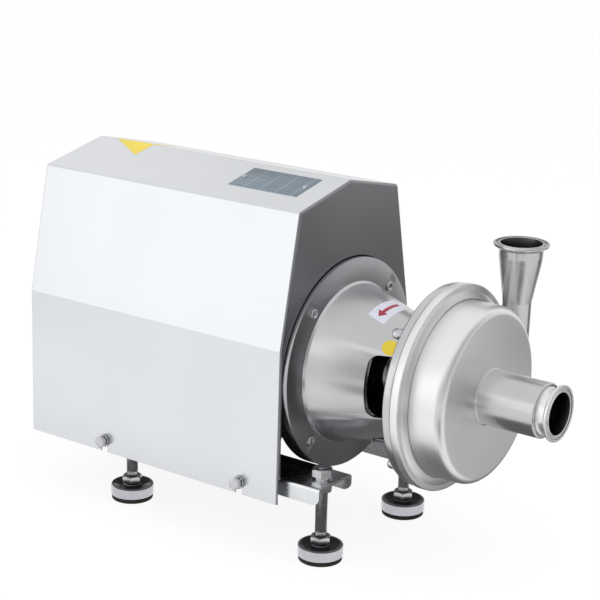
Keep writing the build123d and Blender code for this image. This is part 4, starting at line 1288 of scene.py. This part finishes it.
@dataclass
class Pump:
    """Casing, ports and the wetted inner pieces."""

    joint_x: float = Lantern.joint_x
    casing_x: float = 205.65
    drum_x: float = 247.05
    inlet_x: float = 334.85
    flange_r: float = 119.0
    drum_r: float = 101.8
    wall: float = 3.0
    drum_edge: float = 10.5
    gap: float = 1.0
    gap_depth: float = 2.5
    rim_x: float = 202.7
    collar_r: float = 112.0
    root_groove: float = 1.3
    root_groove_depth: float = 2.2
    root_groove_step: float = 0.4
    tube_r: float = 31.5
    tube_bore: float = 29.0
    shoulder: float = 9.0
    port_r: float = 32.0
    bore_r: float = 23.9
    neck_r: float = 25.5
    rim: float = 2.85
    taper: float = 2.2
    taper_r: float = 27.0
    neck_length: float = 10.0
    groove_r: float = 27.6
    groove_width: float = 2.6
    groove_depth: float = 1.2
    groove_slope: float = 0.3
    bead: float = 1.3
    bead_crest: float = 0.4
    root_bead: float = 2.0
    root_bead_crest: float = 1.2
    root_bead_rise: float = 0.2
    root_lap: float = 0.5
    nozzle_x: float = 228.05
    nozzle_y: float = 84.0
    port_y: float = 87.0
    nozzle_top: float = 368.2
    nozzle_r: float = 15.6
    nozzle_bore: float = 13.2
    nozzle_start: float = 232.0
    nozzle_wall: float = 1.6
    nozzle_blend: float = 3.0
    nozzle_lap: float = 0.6
    flare: tuple[tuple[float, float], ...] = (
        (300.0, 16.6),
        (312.0, 18.6),
        (324.0, 20.6),
        (336.0, 22.7),
        (347.0, 24.4),
        (353.0, 25.2),
    )

    @property
    def neck_x(self) -> float:
        """Station where the suction tube narrows to its port."""
        return self.inlet_x - self.neck_length - self.rim - self.taper

    def build(self) -> None:
        """Build every piece of the pump."""
        dress(self.casing(), BLASTED, "pump_steel", "base", "volute_casing")
        suction = dress(self.suction(), POLISHED, "pump_steel", "base", "suction_tube")
        neck = self.neck_x * MM
        coat_faces(suction, PORT_STEEL, lambda face: face.center.x > neck)
        # Painted shade: faces inside the suction tube's bore get the dark inside tone
        centre = Vector(SHAFT.origin).yz * MM
        coat_faces(
            suction, TUBE_INSIDE,
            lambda face: face.normal.yz.dot((face.center.yz - centre).normalized()) < INWARD,
        )
        centre_line = (self.nozzle_x, self.port_y, 0.0)
        upright = replace(
            POLISHED, name="polished_stainless_nozzle", grain=Grain.UPRIGHT, centre=centre_line
        )
        nozzle = dress(self.nozzle(), upright, "pump_steel", "base", "discharge_nozzle")
        # Painted shade: faces inside the nozzle's bore get the dark inside tone
        axis = Vector((self.nozzle_x, self.port_y)) * MM
        coat_faces(
            nozzle, TUBE_INSIDE,
            lambda face: face.normal.xy.dot((face.center.xy - axis).normalized()) < INWARD,
        )
        coat_nodes(BLASTED, "back_plate")
        coat_nodes(TURNED, "stub_shaft", "impeller_nut")
        coat_nodes(CAST_STEEL, "impeller")
        coat_nodes(SPRING, "set_screws", "seal_spring")
        coat_nodes(SEAL_FACE, "seal_seat", "seal_ring")
        coat_nodes(RUBBER, "casing_o_ring")

    def casing(self) -> Piece:
        """Turn the round casing with its flange and bore the way into its nozzle.

        Returns:
            The casing.
        """
        inner = self.drum_r - self.wall
        root = self.casing_x - self.root_groove_depth
        casing = turned(
            "casing_drum",
            SHAFT,
            [
                Corner(self.joint_x, inner),
                Corner(self.joint_x, self.flange_r - self.gap_depth, 0),
                Corner(self.joint_x + self.gap, self.flange_r - self.gap_depth, 0),
                Corner(self.joint_x + self.gap, self.flange_r, 0.5),
                Corner(self.rim_x, self.flange_r, 1.3),
                Corner(self.rim_x, self.collar_r, 4.0),
                Corner(self.casing_x, self.drum_r + self.root_groove, 0.5),
                Corner(root, self.drum_r + self.root_groove_step, 0.2),
                Corner(root, self.drum_r, 0),
                Corner(self.drum_x, self.drum_r, self.drum_edge),
                Corner(self.drum_x, self.tube_bore, 0),
                Corner(self.drum_x - self.wall, self.tube_bore, 0),
                Corner(self.drum_x - self.wall, inner, self.drum_edge - self.wall),
            ],
            steps=224,
        )
        line = Line((self.nozzle_x, self.nozzle_y, 0.0), Heading.UP)
        outline = rod_outline(self.nozzle_start, self.nozzle_top, self.nozzle_bore)
        return close_mesh(carve(casing, turned("nozzle_drill", line, outline)))

    def port(self, face: float, bore_end: float) -> list[Corner]:
        """Clamp port outline from its bore over its face and rim to its neck.

        Args:
            face: Where its face stands along the line.
            bore_end: Where its bore starts.

        Returns:
            The corners.
        """
        rim_back = face - self.rim
        taper_back = rim_back - self.taper
        inside = self.groove_r - self.groove_width / 2
        outside = self.groove_r + self.groove_width / 2
        return [
            Corner(bore_end, self.bore_r, 0.5),
            Corner(face, self.bore_r, 0.6),
            Corner(face, inside, 0.5),
            Corner(face - self.groove_depth, inside + self.groove_slope, 0.4),
            Corner(face - self.groove_depth, outside - self.groove_slope, 0.4),
            Corner(face, outside, 0.5),
            Corner(face, self.port_r, 0.7),
            Corner(rim_back, self.port_r, 0.7),
            Corner(taper_back, self.taper_r, 0.6),
            Corner(taper_back - (self.taper_r - self.neck_r), self.neck_r, 1.0),
        ]

    def suction(self) -> Piece:
        """Turn the suction tube with its weld beads, shoulder and clamp port.

        Returns:
            The suction tube.
        """
        neck, root = self.neck_x, self.drum_x - self.root_lap
        bead_r = self.tube_r + self.bead
        return turned(
            "suction_pipe",
            SHAFT,
            [
                *self.port(self.inlet_x, neck),
                Corner(neck + self.bead, self.neck_r, 0.5),
                Corner(neck + self.bead_crest, self.neck_r + self.bead, 0.6),
                Corner(neck, self.neck_r + self.bead, 0.5),
                Corner(neck, self.tube_r, 4.5),
                Corner(self.drum_x + self.root_bead, self.tube_r, 0.8),
                Corner(self.drum_x + self.root_bead_crest, bead_r, 0.6),
                Corner(root, bead_r + self.root_bead_rise, 0),
                Corner(root, self.tube_bore, 0),
                Corner(neck - self.shoulder, self.tube_bore, 2.0),
            ],
        )

    def nozzle(self) -> Piece:
        """Turn the flared discharge nozzle, lean it out and trim its foot to the drum.

        Returns:
            The nozzle.
        """
        line = Line((self.nozzle_x, self.port_y, 0.0), Heading.UP)
        blend, wall = self.nozzle_blend, self.nozzle_wall
        outside = [Corner(height, radius, blend) for height, radius in reversed(self.flare)]
        inside = [Corner(height, radius - wall, blend) for height, radius in self.flare[:-1]]
        nozzle = turned(
            "discharge_pipe",
            line,
            [
                *self.port(self.nozzle_top, self.flare[-1][0]),
                *outside,
                Corner(self.nozzle_start, self.nozzle_r, 0),
                Corner(self.nozzle_start, self.nozzle_bore, 0),
                *inside,
            ],
        )
        self.lean_out(nozzle)
        end, radius = self.drum_x - self.nozzle_lap, self.drum_r - self.nozzle_lap
        outline = rod_outline(self.joint_x, end, radius)
        outline[2] = Corner(end, radius, self.drum_edge)
        carve(nozzle, turned("drum_envelope", SHAFT, outline, steps=224))
        return close_mesh(nozzle)

    def lean_out(self, nozzle: Piece) -> None:
        """Shift the flare inwards step by step down to the foot, under its port.

        Args:
            nozzle: The upright nozzle.
        """
        heights = [height for height, _ in self.flare[:-1]]
        lean = self.port_y - self.nozzle_y
        pick(nozzle)
        bpy.ops.object.mode_set(mode="EDIT")
        for low, high in zip(heights, heights[1:]):
            middle = (low + high) / 2 * MM
            step = lean * (high - low) / (heights[-1] - heights[0])
            choose(nozzle, "verts", lambda vert: vert.co.z < middle)
            bpy.ops.transform.translate(value=(0.0, -step * MM, 0.0))
        bpy.ops.object.mode_set(mode="OBJECT")


@dataclass
class Hood:
    """Folded sheet hood with its screws."""

    front_x: float = 52.95
    length: float = 387.8
    sheet: float = 1.5
    fold_r: float = 4.0
    edge_r: float = 3.0
    outline: tuple[tuple[float, float], ...] = (
        (-131.0, 72.2),
        (-128.3, 253.9),
        (-97.0, 407.8),
        (0.0, 429.0),
        (97.0, 407.8),
        (128.3, 253.9),
        (131.0, 72.2),
    )
    arch_r: float = 126.4
    leg_half: float = 125.5
    leg_end: float = 102.0
    leg_end_half: float = 129.06
    leg_cut: float = 3.2
    leg_start: float = 50.0
    arch_reach: float = 12.0
    trim_reach: float = 20.0
    past: float = 5.0
    drop_per_inset: float = 4.0
    edge: float = 0.25
    edge_angle: float = 50.0
    # Least forward lean of a face that gets the end sheet's painted shade
    facing: float = 0.45
    screw_height: float = 86.5
    screw_xs: tuple[float, float] = (-2.75, -212.25)
    slot_half: float = 4.7
    slot_top: float = 90.8
    slot_start: float = 40.0
    slot_reach: float = 150.6
    vent_width: float = 70.0
    vent_height: float = 7.0
    vent_pitch: tuple[float, float] = (86.0, 18.0)
    vent_rows: int = 6
    vent_cut: tuple[float, float] = (-3.0, 4.0)
    washer_y: float = 131.5
    washer_r: float = 8.0
    washer: float = 1.6
    spring_r: float = 6.6
    spring: float = 2.0
    head_flats: float = 13.0
    head: float = 5.3
    shank_r: float = 4.0
    shank_start: float = 115.5
    head_lap: float = 0.1
    spring_play: float = 0.2

    def build(self) -> None:
        """Build the hood and its screws."""
        shell = dress(self.shell(), SATIN_SHEET, "hood_steel", "hood", "hood")
        # Painted shade: faces that lean forward above the legs get the darker end sheet tone
        leg_end = self.leg_end * MM
        coat_faces(
            shell, END_SHEET,
            lambda face: face.normal.x > self.facing and face.center.z > leg_end,
        )
        screws, springs = self.screws()
        dress(screws, BRIGHT, "fastener_steel", "base", "hood_screws")
        dress(springs, SPRING, "fastener_steel", "base")

    def inset(self, by: float) -> list[Vector]:
        """The outline moved inwards, and open below where it is moved.

        Args:
            by: How far, in millimetres.

        Returns:
            Its corners in the plane of the front panel, in millimetres.
        """
        corners = [Vector(corner) for corner in self.outline]
        drop = self.drop_per_inset * by
        corners[0].y -= drop
        corners[-1].y -= drop
        moved = []
        for before, place, after in zip([corners[-1], *corners], corners, [*corners[1:], corners[0]]):
            back, ahead = (place - before).normalized(), (after - place).normalized()
            inward = Vector((back.y, -back.x)) + Vector((ahead.y, -ahead.x))
            moved.append(place + inward * by / (1 + back.dot(ahead)))
        return moved

    def solid(self, name: str, by: float) -> Piece:
        """Solid block of the hood's outline with rounded folds and rims.

        Args:
            name: The new piece's name.
            by: How far inside the outline it stays, in millimetres.

        Returns:
            The block.
        """
        rear = self.front_x - self.length + by
        places = [Vector((rear, *corner)) * MM for corner in self.inset(by)]
        shell = start_point(name, places[0])
        for here, place in zip(places, places[1:]):
            draw_to(place - here)
        for before, place, after in zip(places, places[1:], places[2:]):
            round_corner(shell, place, before, after, self.fold_r - by)
        bpy.ops.mesh.select_all(action="SELECT")
        bpy.ops.mesh.edge_face_add()
        step = Vector(((self.length - 2 * by) * MM, 0.0, 0.0))
        bpy.ops.mesh.extrude_region_move(TRANSFORM_OT_translate={"value": step})
        bpy.ops.mesh.select_all(action="SELECT")
        bpy.ops.mesh.normals_make_consistent(inside=False)
        bottom = places[0].z
        choose(
            shell,
            "edges",
            lambda edge: abs(edge.verts[0].co.x - edge.verts[1].co.x) < MERGE
            and max(vert.co.z for vert in edge.verts) > bottom + 10 * MERGE,
        )
        bpy.ops.mesh.bevel(offset=(self.edge_r - by) * MM, segments=5, profile=0.5, affect="EDGES")
        return close_mesh(shell)

    def folded(self) -> Piece:
        """The folded sheet before any cut."""
        return carve(self.solid("hood_shell", 0.0), self.solid("hood_inside", self.sheet))

    def shell(self) -> Piece:
        """Cut the arch, the screw slots and the vents into the folded sheet.

        Returns:
            The hood.
        """
        shell = self.folded()
        rear = self.front_x - self.length
        axis = SHAFT.origin[2]
        start, end = self.front_x - self.arch_reach, self.front_x + self.arch_reach
        disc = turned("arch", SHAFT, rod_outline(start, end, self.arch_r), steps=192)
        low = (self.front_x - self.trim_reach, -self.leg_half, 0)
        high = (self.front_x + self.trim_reach, self.leg_half, 2 * axis)
        carve(disc, block("trim", low, high), "INTERSECT")
        carve(shell, disc)
        near, far = self.front_x - self.leg_cut, self.front_x + self.past
        for half, top in ((self.leg_half, axis), (self.leg_end_half, self.leg_end)):
            carve(shell, block("legs", (near, -half, self.leg_start), (far, half, top)))
        for x in self.screw_xs:
            low = (x - self.slot_half, -self.slot_reach, self.slot_start)
            high = (x + self.slot_half, self.slot_reach, self.slot_top)
            carve(shell, block("slot", low, high, self.slot_half - SLOT_PLAY))
        carve(shell, self.vents(rear, axis))
        break_edges(shell, self.edge, self.edge_angle)
        close_mesh(shell, 30)
        apply_modifier(shell, "WEIGHTED_NORMAL", keep_sharp=True)
        return shell

    def vents(self, rear: float, axis: float) -> Piece:
        """Tool body of the rear vents.

        Args:
            rear: Station of the rear panel.
            axis: Height of the shaft line.

        Returns:
            The tool body.
        """
        half_width, half_height = self.vent_width / 2, self.vent_height / 2
        slots = []
        for row in range(self.vent_rows):
            height = axis + (row - (self.vent_rows - 1) / 2) * self.vent_pitch[1]
            for middle in (-self.vent_pitch[0] / 2, self.vent_pitch[0] / 2):
                low, high = (
                    (rear + cut, middle + side * half_width, height + side * half_height)
                    for side, cut in zip((-1, 1), self.vent_cut)
                )
                slots.append(block(f"vent_{row}", low, high, half_height - SLOT_PLAY, axis=0))
        return joined("vents", slots)

    def screws(self) -> tuple[Piece, Piece]:
        """Four hexagon screws with flat washers, and their spring washers.

        Returns:
            The joined screws and the joined spring washers.
        """
        screws, springs = [], []
        washer_end = self.washer_y + self.washer
        head_y = washer_end + self.spring
        for heading in (Heading.LEFT, Heading.RIGHT):
            for x in self.screw_xs:
                line = Line((x, 0.0, self.screw_height), heading)
                flat = [
                    Corner(self.shank_start, 0, 0),
                    Corner(self.shank_start, self.shank_r, 0.5),
                    Corner(self.washer_y, self.shank_r, 0),
                    Corner(self.washer_y, self.washer_r),
                    Corner(washer_end, self.washer_r),
                    Corner(washer_end, self.shank_r, 0),
                    Corner(head_y + self.head_lap, self.shank_r, 0),
                    Corner(head_y + self.head_lap, 0, 0),
                ]
                screws.append(turned("screw_shank", line, flat, 64))
                seat = Line(tuple(line.at(head_y) / MM), heading)
                screws.append(hexagon("screw_head", seat, self.head_flats, self.head))
                inner = self.shank_r + self.spring_play
                coil = ring_outline(washer_end, head_y, inner, self.spring_r)
                springs.append(turned("spring_washer", line, coil, 64))
        return joined("hood_screw_set", screws), joined("hood_spring_washers", springs)


@dataclass
class Labels:
    """Blank rating plate and plain stickers."""

    mount_x: float = Lantern.mount_x
    ridge: float = Hood.outline[3][1]
    eave_half: float = Hood.outline[4][0]
    eave: float = Hood.outline[4][1]
    plate_x: tuple[float, float] = (-136.0, -38.0)
    plate_y: tuple[float, float] = (-63.5, -13.5)
    plate_thickness: float = 0.5
    rivets: tuple[tuple[float, float], ...] = ((-131.0, -38.0), (-44.0, -38.0))
    plate_edge: float = 0.12
    plate_edge_angle: float = 30.0
    rivet_r: float = 3.2
    rivet_root: float = 0.8
    rivet_shoulder: tuple[float, float] = (1.6, 2.4)
    rivet_top: float = 1.8
    film: float = 0.12
    lift: float = 0.03
    roof_film: tuple[tuple[float, float], ...] = ((-305.0, -34.0), (-305.0, 41.0), (-370.0, 3.5))
    past: float = 5.0
    cone_start: float = Lantern.bead
    cone_start_r: float = Lantern.cone_rear_r
    cone_end: float = Lantern.stud_head_x - Lantern.mount_x
    cone_end_r: float = Lantern.cone_front_r
    arrow_x: tuple[float, float] = (44.0, 66.0)
    arrow_y: tuple[float, float] = (-33.0, 17.5)
    arrow_margin: float = 5.0
    arrow_head: float = 10.0
    arrow_head_half: float = 6.0
    arrow_shaft_half: float = 2.0
    dot_x: float = 86.5
    dot_r: float = 9.3
    dot_turn: float = -46.0
    dot_reach: float = 15.0

    def build(self) -> None:
        """Build every label."""
        dress(self.plate(), PLATE, "hood_steel", "hood")
        dress(self.plate_rivets(), BRIGHT, "fastener_steel", "hood")
        dress(self.roof_sticker(), YELLOW_VINYL, "hood_steel", "hood")
        dress(self.arrow_ground(), WHITE_VINYL, "pump_steel", "base")
        dress(self.arrow(), RED_VINYL, "pump_steel", "base")
        dress(self.dot(), YELLOW_VINYL, "pump_steel", "base")

    @property
    def slope(self) -> float:
        """Angle of the roof to the level, in radians."""
        return math.atan2(self.ridge - self.eave, self.eave_half)

    def roof_height(self, y: float) -> float:
        """Height of the roof's outside at a distance from the middle."""
        return self.ridge - abs(y) * math.tan(self.slope)

    def plate(self) -> Piece:
        """Rating plate on the left roof slope.

        Returns:
            The plate.
        """
        deselect()
        middle_x = self.mount_x + sum(self.plate_x) / 2
        middle_y = sum(self.plate_y) / 2
        height = self.roof_height(middle_y) + self.plate_thickness / 2
        bpy.ops.mesh.primitive_plane_add(
            size=1.0,
            location=(middle_x * MM, middle_y * MM, height * MM),
            rotation=(self.slope, 0.0, 0.0),
            calc_uvs=True,
        )
        plate = bpy.context.object
        plate.name = "rating_plate"
        width = self.plate_x[1] - self.plate_x[0]
        depth = (self.plate_y[1] - self.plate_y[0]) / math.cos(self.slope)
        plate.scale = (width * MM, depth * MM, 1.0)
        bpy.ops.object.transform_apply(location=True, rotation=True, scale=True)
        apply_modifier(plate, "SOLIDIFY", thickness=self.plate_thickness * MM, offset=0.0)
        break_edges(plate, self.plate_edge, self.plate_edge_angle)
        return close_mesh(plate)

    def plate_rivets(self) -> Piece:
        """Two domed rivets that hold the plate.

        Returns:
            The joined rivets.
        """
        rivets = []
        for x, y in self.rivets:
            height = self.roof_height(y) + self.plate_thickness
            line = Line((self.mount_x + x, y, height), Heading.UP)
            outline = [
                Corner(-self.rivet_root, 0, 0),
                Corner(-self.rivet_root, self.rivet_r, 0.2),
                Corner(*self.rivet_shoulder, 1.2),
                Corner(self.rivet_top, 0, 0),
            ]
            rivets.append(turned("rivet", line, outline, 48))
        return joined("plate_rivets", rivets)

    def roof_sticker(self) -> Piece:
        """Plain sticker folded over the ridge.

        Returns:
            The sticker.
        """
        hood = Hood()
        skin = hood.solid("film_outside", -self.lift - self.film)
        carve(skin, hood.solid("film_inside", -self.lift))
        outline = [(self.mount_x + x, y) for x, y in self.roof_film]
        sticker = prism("roof_sticker", outline, self.eave, self.ridge + self.past, 2.0)
        return close_mesh(carve(sticker, skin, "INTERSECT"))

    def sleeve(self, start: float, end: float, lift: float) -> Piece:
        """Thin sleeve over the lantern's cone, from which its films are cut.

        Args:
            start: Where it starts, from the mounting face.
            end: Where it ends.
            lift: Its height over the cone.

        Returns:
            The sleeve.
        """
        taper = (self.cone_end_r - self.cone_start_r) / (self.cone_end - self.cone_start)
        first = self.cone_start_r + taper * (start - self.cone_start) + lift
        last = self.cone_start_r + taper * (end - self.cone_start) + lift
        outline = [
            Corner(self.mount_x + start, first, 0),
            Corner(self.mount_x + start, first + self.film, 0),
            Corner(self.mount_x + end, last + self.film, 0),
            Corner(self.mount_x + end, last, 0),
        ]
        return turned("sleeve", SHAFT, outline, steps=192)

    def arrow_ground(self) -> Piece:
        """White film on top of the cone.

        Returns:
            The film.
        """
        (near, far), (left, right) = self.arrow_x, self.arrow_y
        axis = SHAFT.origin[2]
        low, high = (self.mount_x + near, left, axis), (self.mount_x + far, right, 2 * axis)
        film = block("arrow_film", low, high, 1.5, axis=2)
        sleeve = self.sleeve(near - self.past, far + self.past, self.lift)
        carve(film, sleeve, "INTERSECT")
        return close_mesh(film)

    def arrow(self) -> Piece:
        """Red arrow on the white film, which shows which way the shaft turns.

        Returns:
            The arrow.
        """
        (near, far), (left, right) = self.arrow_x, self.arrow_y
        middle = self.mount_x + (near + far) / 2
        tip, tail = left + self.arrow_margin, right - self.arrow_margin
        head = tip + self.arrow_head
        shaft, wide = self.arrow_shaft_half, self.arrow_head_half
        outline = [
            (middle - shaft, tail),
            (middle - shaft, head),
            (middle - wide, head),
            (middle, tip),
            (middle + wide, head),
            (middle + shaft, head),
            (middle + shaft, tail),
        ]
        axis = SHAFT.origin[2]
        arrow = prism("turning_arrow", outline, axis, 2 * axis, 0.3)
        lift = 2 * self.lift + self.film
        carve(arrow, self.sleeve(near, far, lift), "INTERSECT")
        return close_mesh(arrow)

    def dot(self) -> Piece:
        """Round yellow sticker on the side of the cone.

        Returns:
            The sticker.
        """
        line = Line((self.mount_x + self.dot_x, 0.0, SHAFT.origin[2]), Heading.UP)
        outline = rod_outline(0, self.cone_start_r, self.dot_r)
        dot = turned("round_sticker", line, outline, 64)
        pick(dot)
        turn_about_shaft(self.dot_turn)
        bpy.ops.object.transform_apply(location=True, rotation=True, scale=True)
        start, end = self.dot_x - self.dot_reach, self.dot_x + self.dot_reach
        carve(dot, self.sleeve(start, end, self.lift), "INTERSECT")
        return close_mesh(dot)


@dataclass
class Studio:
    """Pale floor, white surroundings, soft lamps and the camera."""

    eye: Point = (1165.45, -1612.8, 859.0)
    yaw: float = -36.24
    pitch: float = 16.33
    roll: float = 1.25
    lens: float = 105.52
    sensor: float = 36.0
    floor_m: float = 30.0
    paper: str = "#E6E6E6"
    veil: float = 0.12
    floor_glow: float = 0.9
    fill: float = 0.75
    card_mm: float = 1.0
    lamps: dict[str, tuple[Point, Point, float, float]] = field(
        default_factory=lambda: {
            "left_softbox": ((-1.25, -1.75, 0.95), (0.0, 0.0, 0.2), 1.7, 12.7),
            "top_softbox": ((0.5, -0.3, 2.4), (0.05, 0.0, 0.2), 1.6, 16.0),
        }
    )
    cards: dict[str, tuple[Point, Point, float]] = field(
        default_factory=lambda: {
            "left_front_screen": ((-3.2, -2.8, 0.0), (-0.5, -2.8, 1.9), 1.4),
            "front_high_screen": ((-0.5, -2.8, 1.1), (0.7, -2.8, 2.4), 1.3),
            "right_front_screen": ((0.7, -2.9, 0.0), (2.6, -2.9, 1.6), 0.6),
            "right_screen": ((2.6, -2.4, 0.0), (2.6, 2.6, 2.0), 0.5),
            "rear_high_screen": ((-3.0, 3.0, 1.2), (-0.2, 3.0, 2.3), 0.4),
            "front_mat": ((-0.75, -0.95, 0.002), (0.25, -0.33, 0.002), 1.12),
            "line_mat": ((0.22, -0.95, 0.003), (0.42, -0.45, 0.003), 0.3),
            "near_mat": ((0.42, -0.52, 0.003), (0.72, -0.18, 0.003), 0.12),
            # Painted shadow: a dim card under the pump, so the metal mirrors the floor there as shaded
            "under_mat": ((-0.25, -0.175, 0.035), (0.28, 0.3, 0.035), 0.16),
            "side_mat": ((0.2, 0.1, 0.002), (0.75, 1.2, 0.002), 0.5),
            "middle_mat": ((0.5, 0.7, 0.004), (0.9, 1.2, 0.004), 0.08),
            "far_mat": ((0.5, 1.1, 0.002), (1.4, 2.0, 0.002), 0.3),
        }
    )

    def build(self) -> None:
        """Set up floor, world, lamps and camera."""
        self.floor()
        self.world()
        for name, (place, aim, size, power) in self.lamps.items():
            self.lamp(name, place, aim, size, power)
        for name, (low, high, glow) in self.cards.items():
            self.card(name, low, high, glow)
        self.camera()
        bpy.context.scene.view_settings.view_transform = "Standard"

    def show(self, tree: bpy.types.NodeTree, plain: Any, seen: Any, output: str) -> None:
        """Give camera, mirror and see-through rays one shader and all others another.

        Args:
            tree: A material's or the world's node tree.
            plain: The node whose shader lights the pump.
            seen: The node whose shader is seen.
            output: Type of the tree's output node.
        """
        path = add(tree, "ShaderNodeLightPath")
        switch = path.outputs["Is Camera Ray"]
        for ray in ("Is Glossy Ray", "Is Transmission Ray"):
            links = {0: switch, 1: path.outputs[ray]}
            switch = add(tree, "ShaderNodeMath", {"operation": "MAXIMUM"}, links).outputs[0]
        links = {0: switch, 1: plain.outputs[0], 2: seen.outputs[0]}
        mix = add(tree, "ShaderNodeMixShader", {}, links)
        add(tree, output, {}, {"Surface": mix.outputs[0]})

    def floor(self) -> None:
        """Lay the pale floor, which keeps the pump's shadow."""
        deselect()
        bpy.ops.mesh.primitive_plane_add(size=self.floor_m, location=(0.0, 0.0, 0.0))
        floor = bpy.context.object
        floor.name = "studio_floor"
        made = bpy.data.materials.new("white_studio_paper")
        made.use_nodes = True
        tree = made.node_tree
        tree.nodes.clear()
        paper = add(tree, "ShaderNodeBsdfDiffuse", {"Color": linear(self.paper)})
        veil = add(tree, "ShaderNodeBsdfDiffuse", {"Color": (self.veil, self.veil, self.veil, 1.0)})
        glow = add(tree, "ShaderNodeEmission", {"Strength": self.floor_glow})
        lit = add(tree, "ShaderNodeAddShader", {}, {0: veil.outputs[0], 1: glow.outputs[0]})
        self.show(tree, paper, lit, "ShaderNodeOutputMaterial")
        floor.data.materials.append(made)

    def world(self) -> None:
        """White where it is seen or mirrored, softer where it only lights."""
        world = bpy.data.worlds.new("white_studio")
        world.use_nodes = True
        tree = world.node_tree
        tree.nodes.clear()
        fill, white = (
            add(tree, "ShaderNodeBackground", {"Color": linear("#FFFFFF"), "Strength": strength})
            for strength in (self.fill, 1.0)
        )
        self.show(tree, fill, white, "ShaderNodeOutputWorld")
        bpy.context.scene.world = world

    def lamp(self, name: str, place: Point, aim: Point, size: float, power: float) -> None:
        """Hang one square softbox.

        Args:
            name: Its name.
            place: Its place in metres.
            aim: The point that it faces.
            size: Its side in metres.
            power: Its power in watts.
        """
        deselect()
        bpy.ops.object.light_add(type="AREA", location=place)
        lamp = bpy.context.object
        lamp.name = name
        lamp.data.shape = "SQUARE"
        lamp.data.size = size
        lamp.data.energy = power
        lamp.visible_glossy = False
        lamp.rotation_euler = (Vector(aim) - Vector(place)).to_track_quat("-Z", "Y").to_euler()

    def card(self, name: str, low: Point, high: Point, glow: float) -> None:
        """Stand or lay a card that only mirrored light meets, so the metal has contrast.

        Args:
            name: Its name.
            low: Its lowest corner in metres.
            high: Its highest corner in metres.
            glow: Its brightness, where 1 is white.
        """
        corner = tuple(v / MM + self.card_mm for v in high)
        card = block(name, tuple(v / MM for v in low), corner)
        made = bpy.data.materials.new(f"card_{name}")
        made.use_nodes = True
        made.node_tree.nodes.clear()
        light = add(made.node_tree, "ShaderNodeEmission", {"Strength": glow})
        add(made.node_tree, "ShaderNodeOutputMaterial", {}, {"Surface": light.outputs[0]})
        card.data.materials.append(made)
        for ray in ("camera", "diffuse", "transmission", "shadow"):
            setattr(card, f"visible_{ray}", False)

    def camera(self) -> None:
        """Stand the camera where the photograph was taken."""
        deselect()
        bpy.ops.object.camera_add()
        camera = bpy.context.object
        camera.name = "studio_camera"
        yaw, pitch, roll = (math.radians(v) for v in (self.yaw, self.pitch, self.roll))
        flat = math.cos(pitch)
        ahead = Vector((math.sin(yaw) * flat, math.cos(yaw) * flat, -math.sin(pitch)))
        level = ahead.cross(Vector((0.0, 0.0, 1.0))).normalized()
        rise = level.cross(ahead)
        right = math.cos(roll) * level + math.sin(roll) * rise
        up = math.cos(roll) * rise - math.sin(roll) * level
        turn = Matrix((right, up, -ahead)).transposed().to_4x4()
        camera.matrix_world = Matrix.Translation(Vector(self.eye) * MM) @ turn
        camera.data.sensor_width = self.sensor
        camera.data.lens = self.lens
        camera.data.clip_end = 100.0
        bpy.context.scene.camera = camera


def main() -> None:
    """Build the whole scene in order."""
    logging.basicConfig(level=logging.INFO, format="%(name)s: %(message)s")
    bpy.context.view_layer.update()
    for part in (Studio(), Base(), Motor(), Lantern(), Pump(), Hood(), Labels()):
        log.info("building %s", type(part).__name__)
        part.build()


if __name__ == "__main__":
    main()
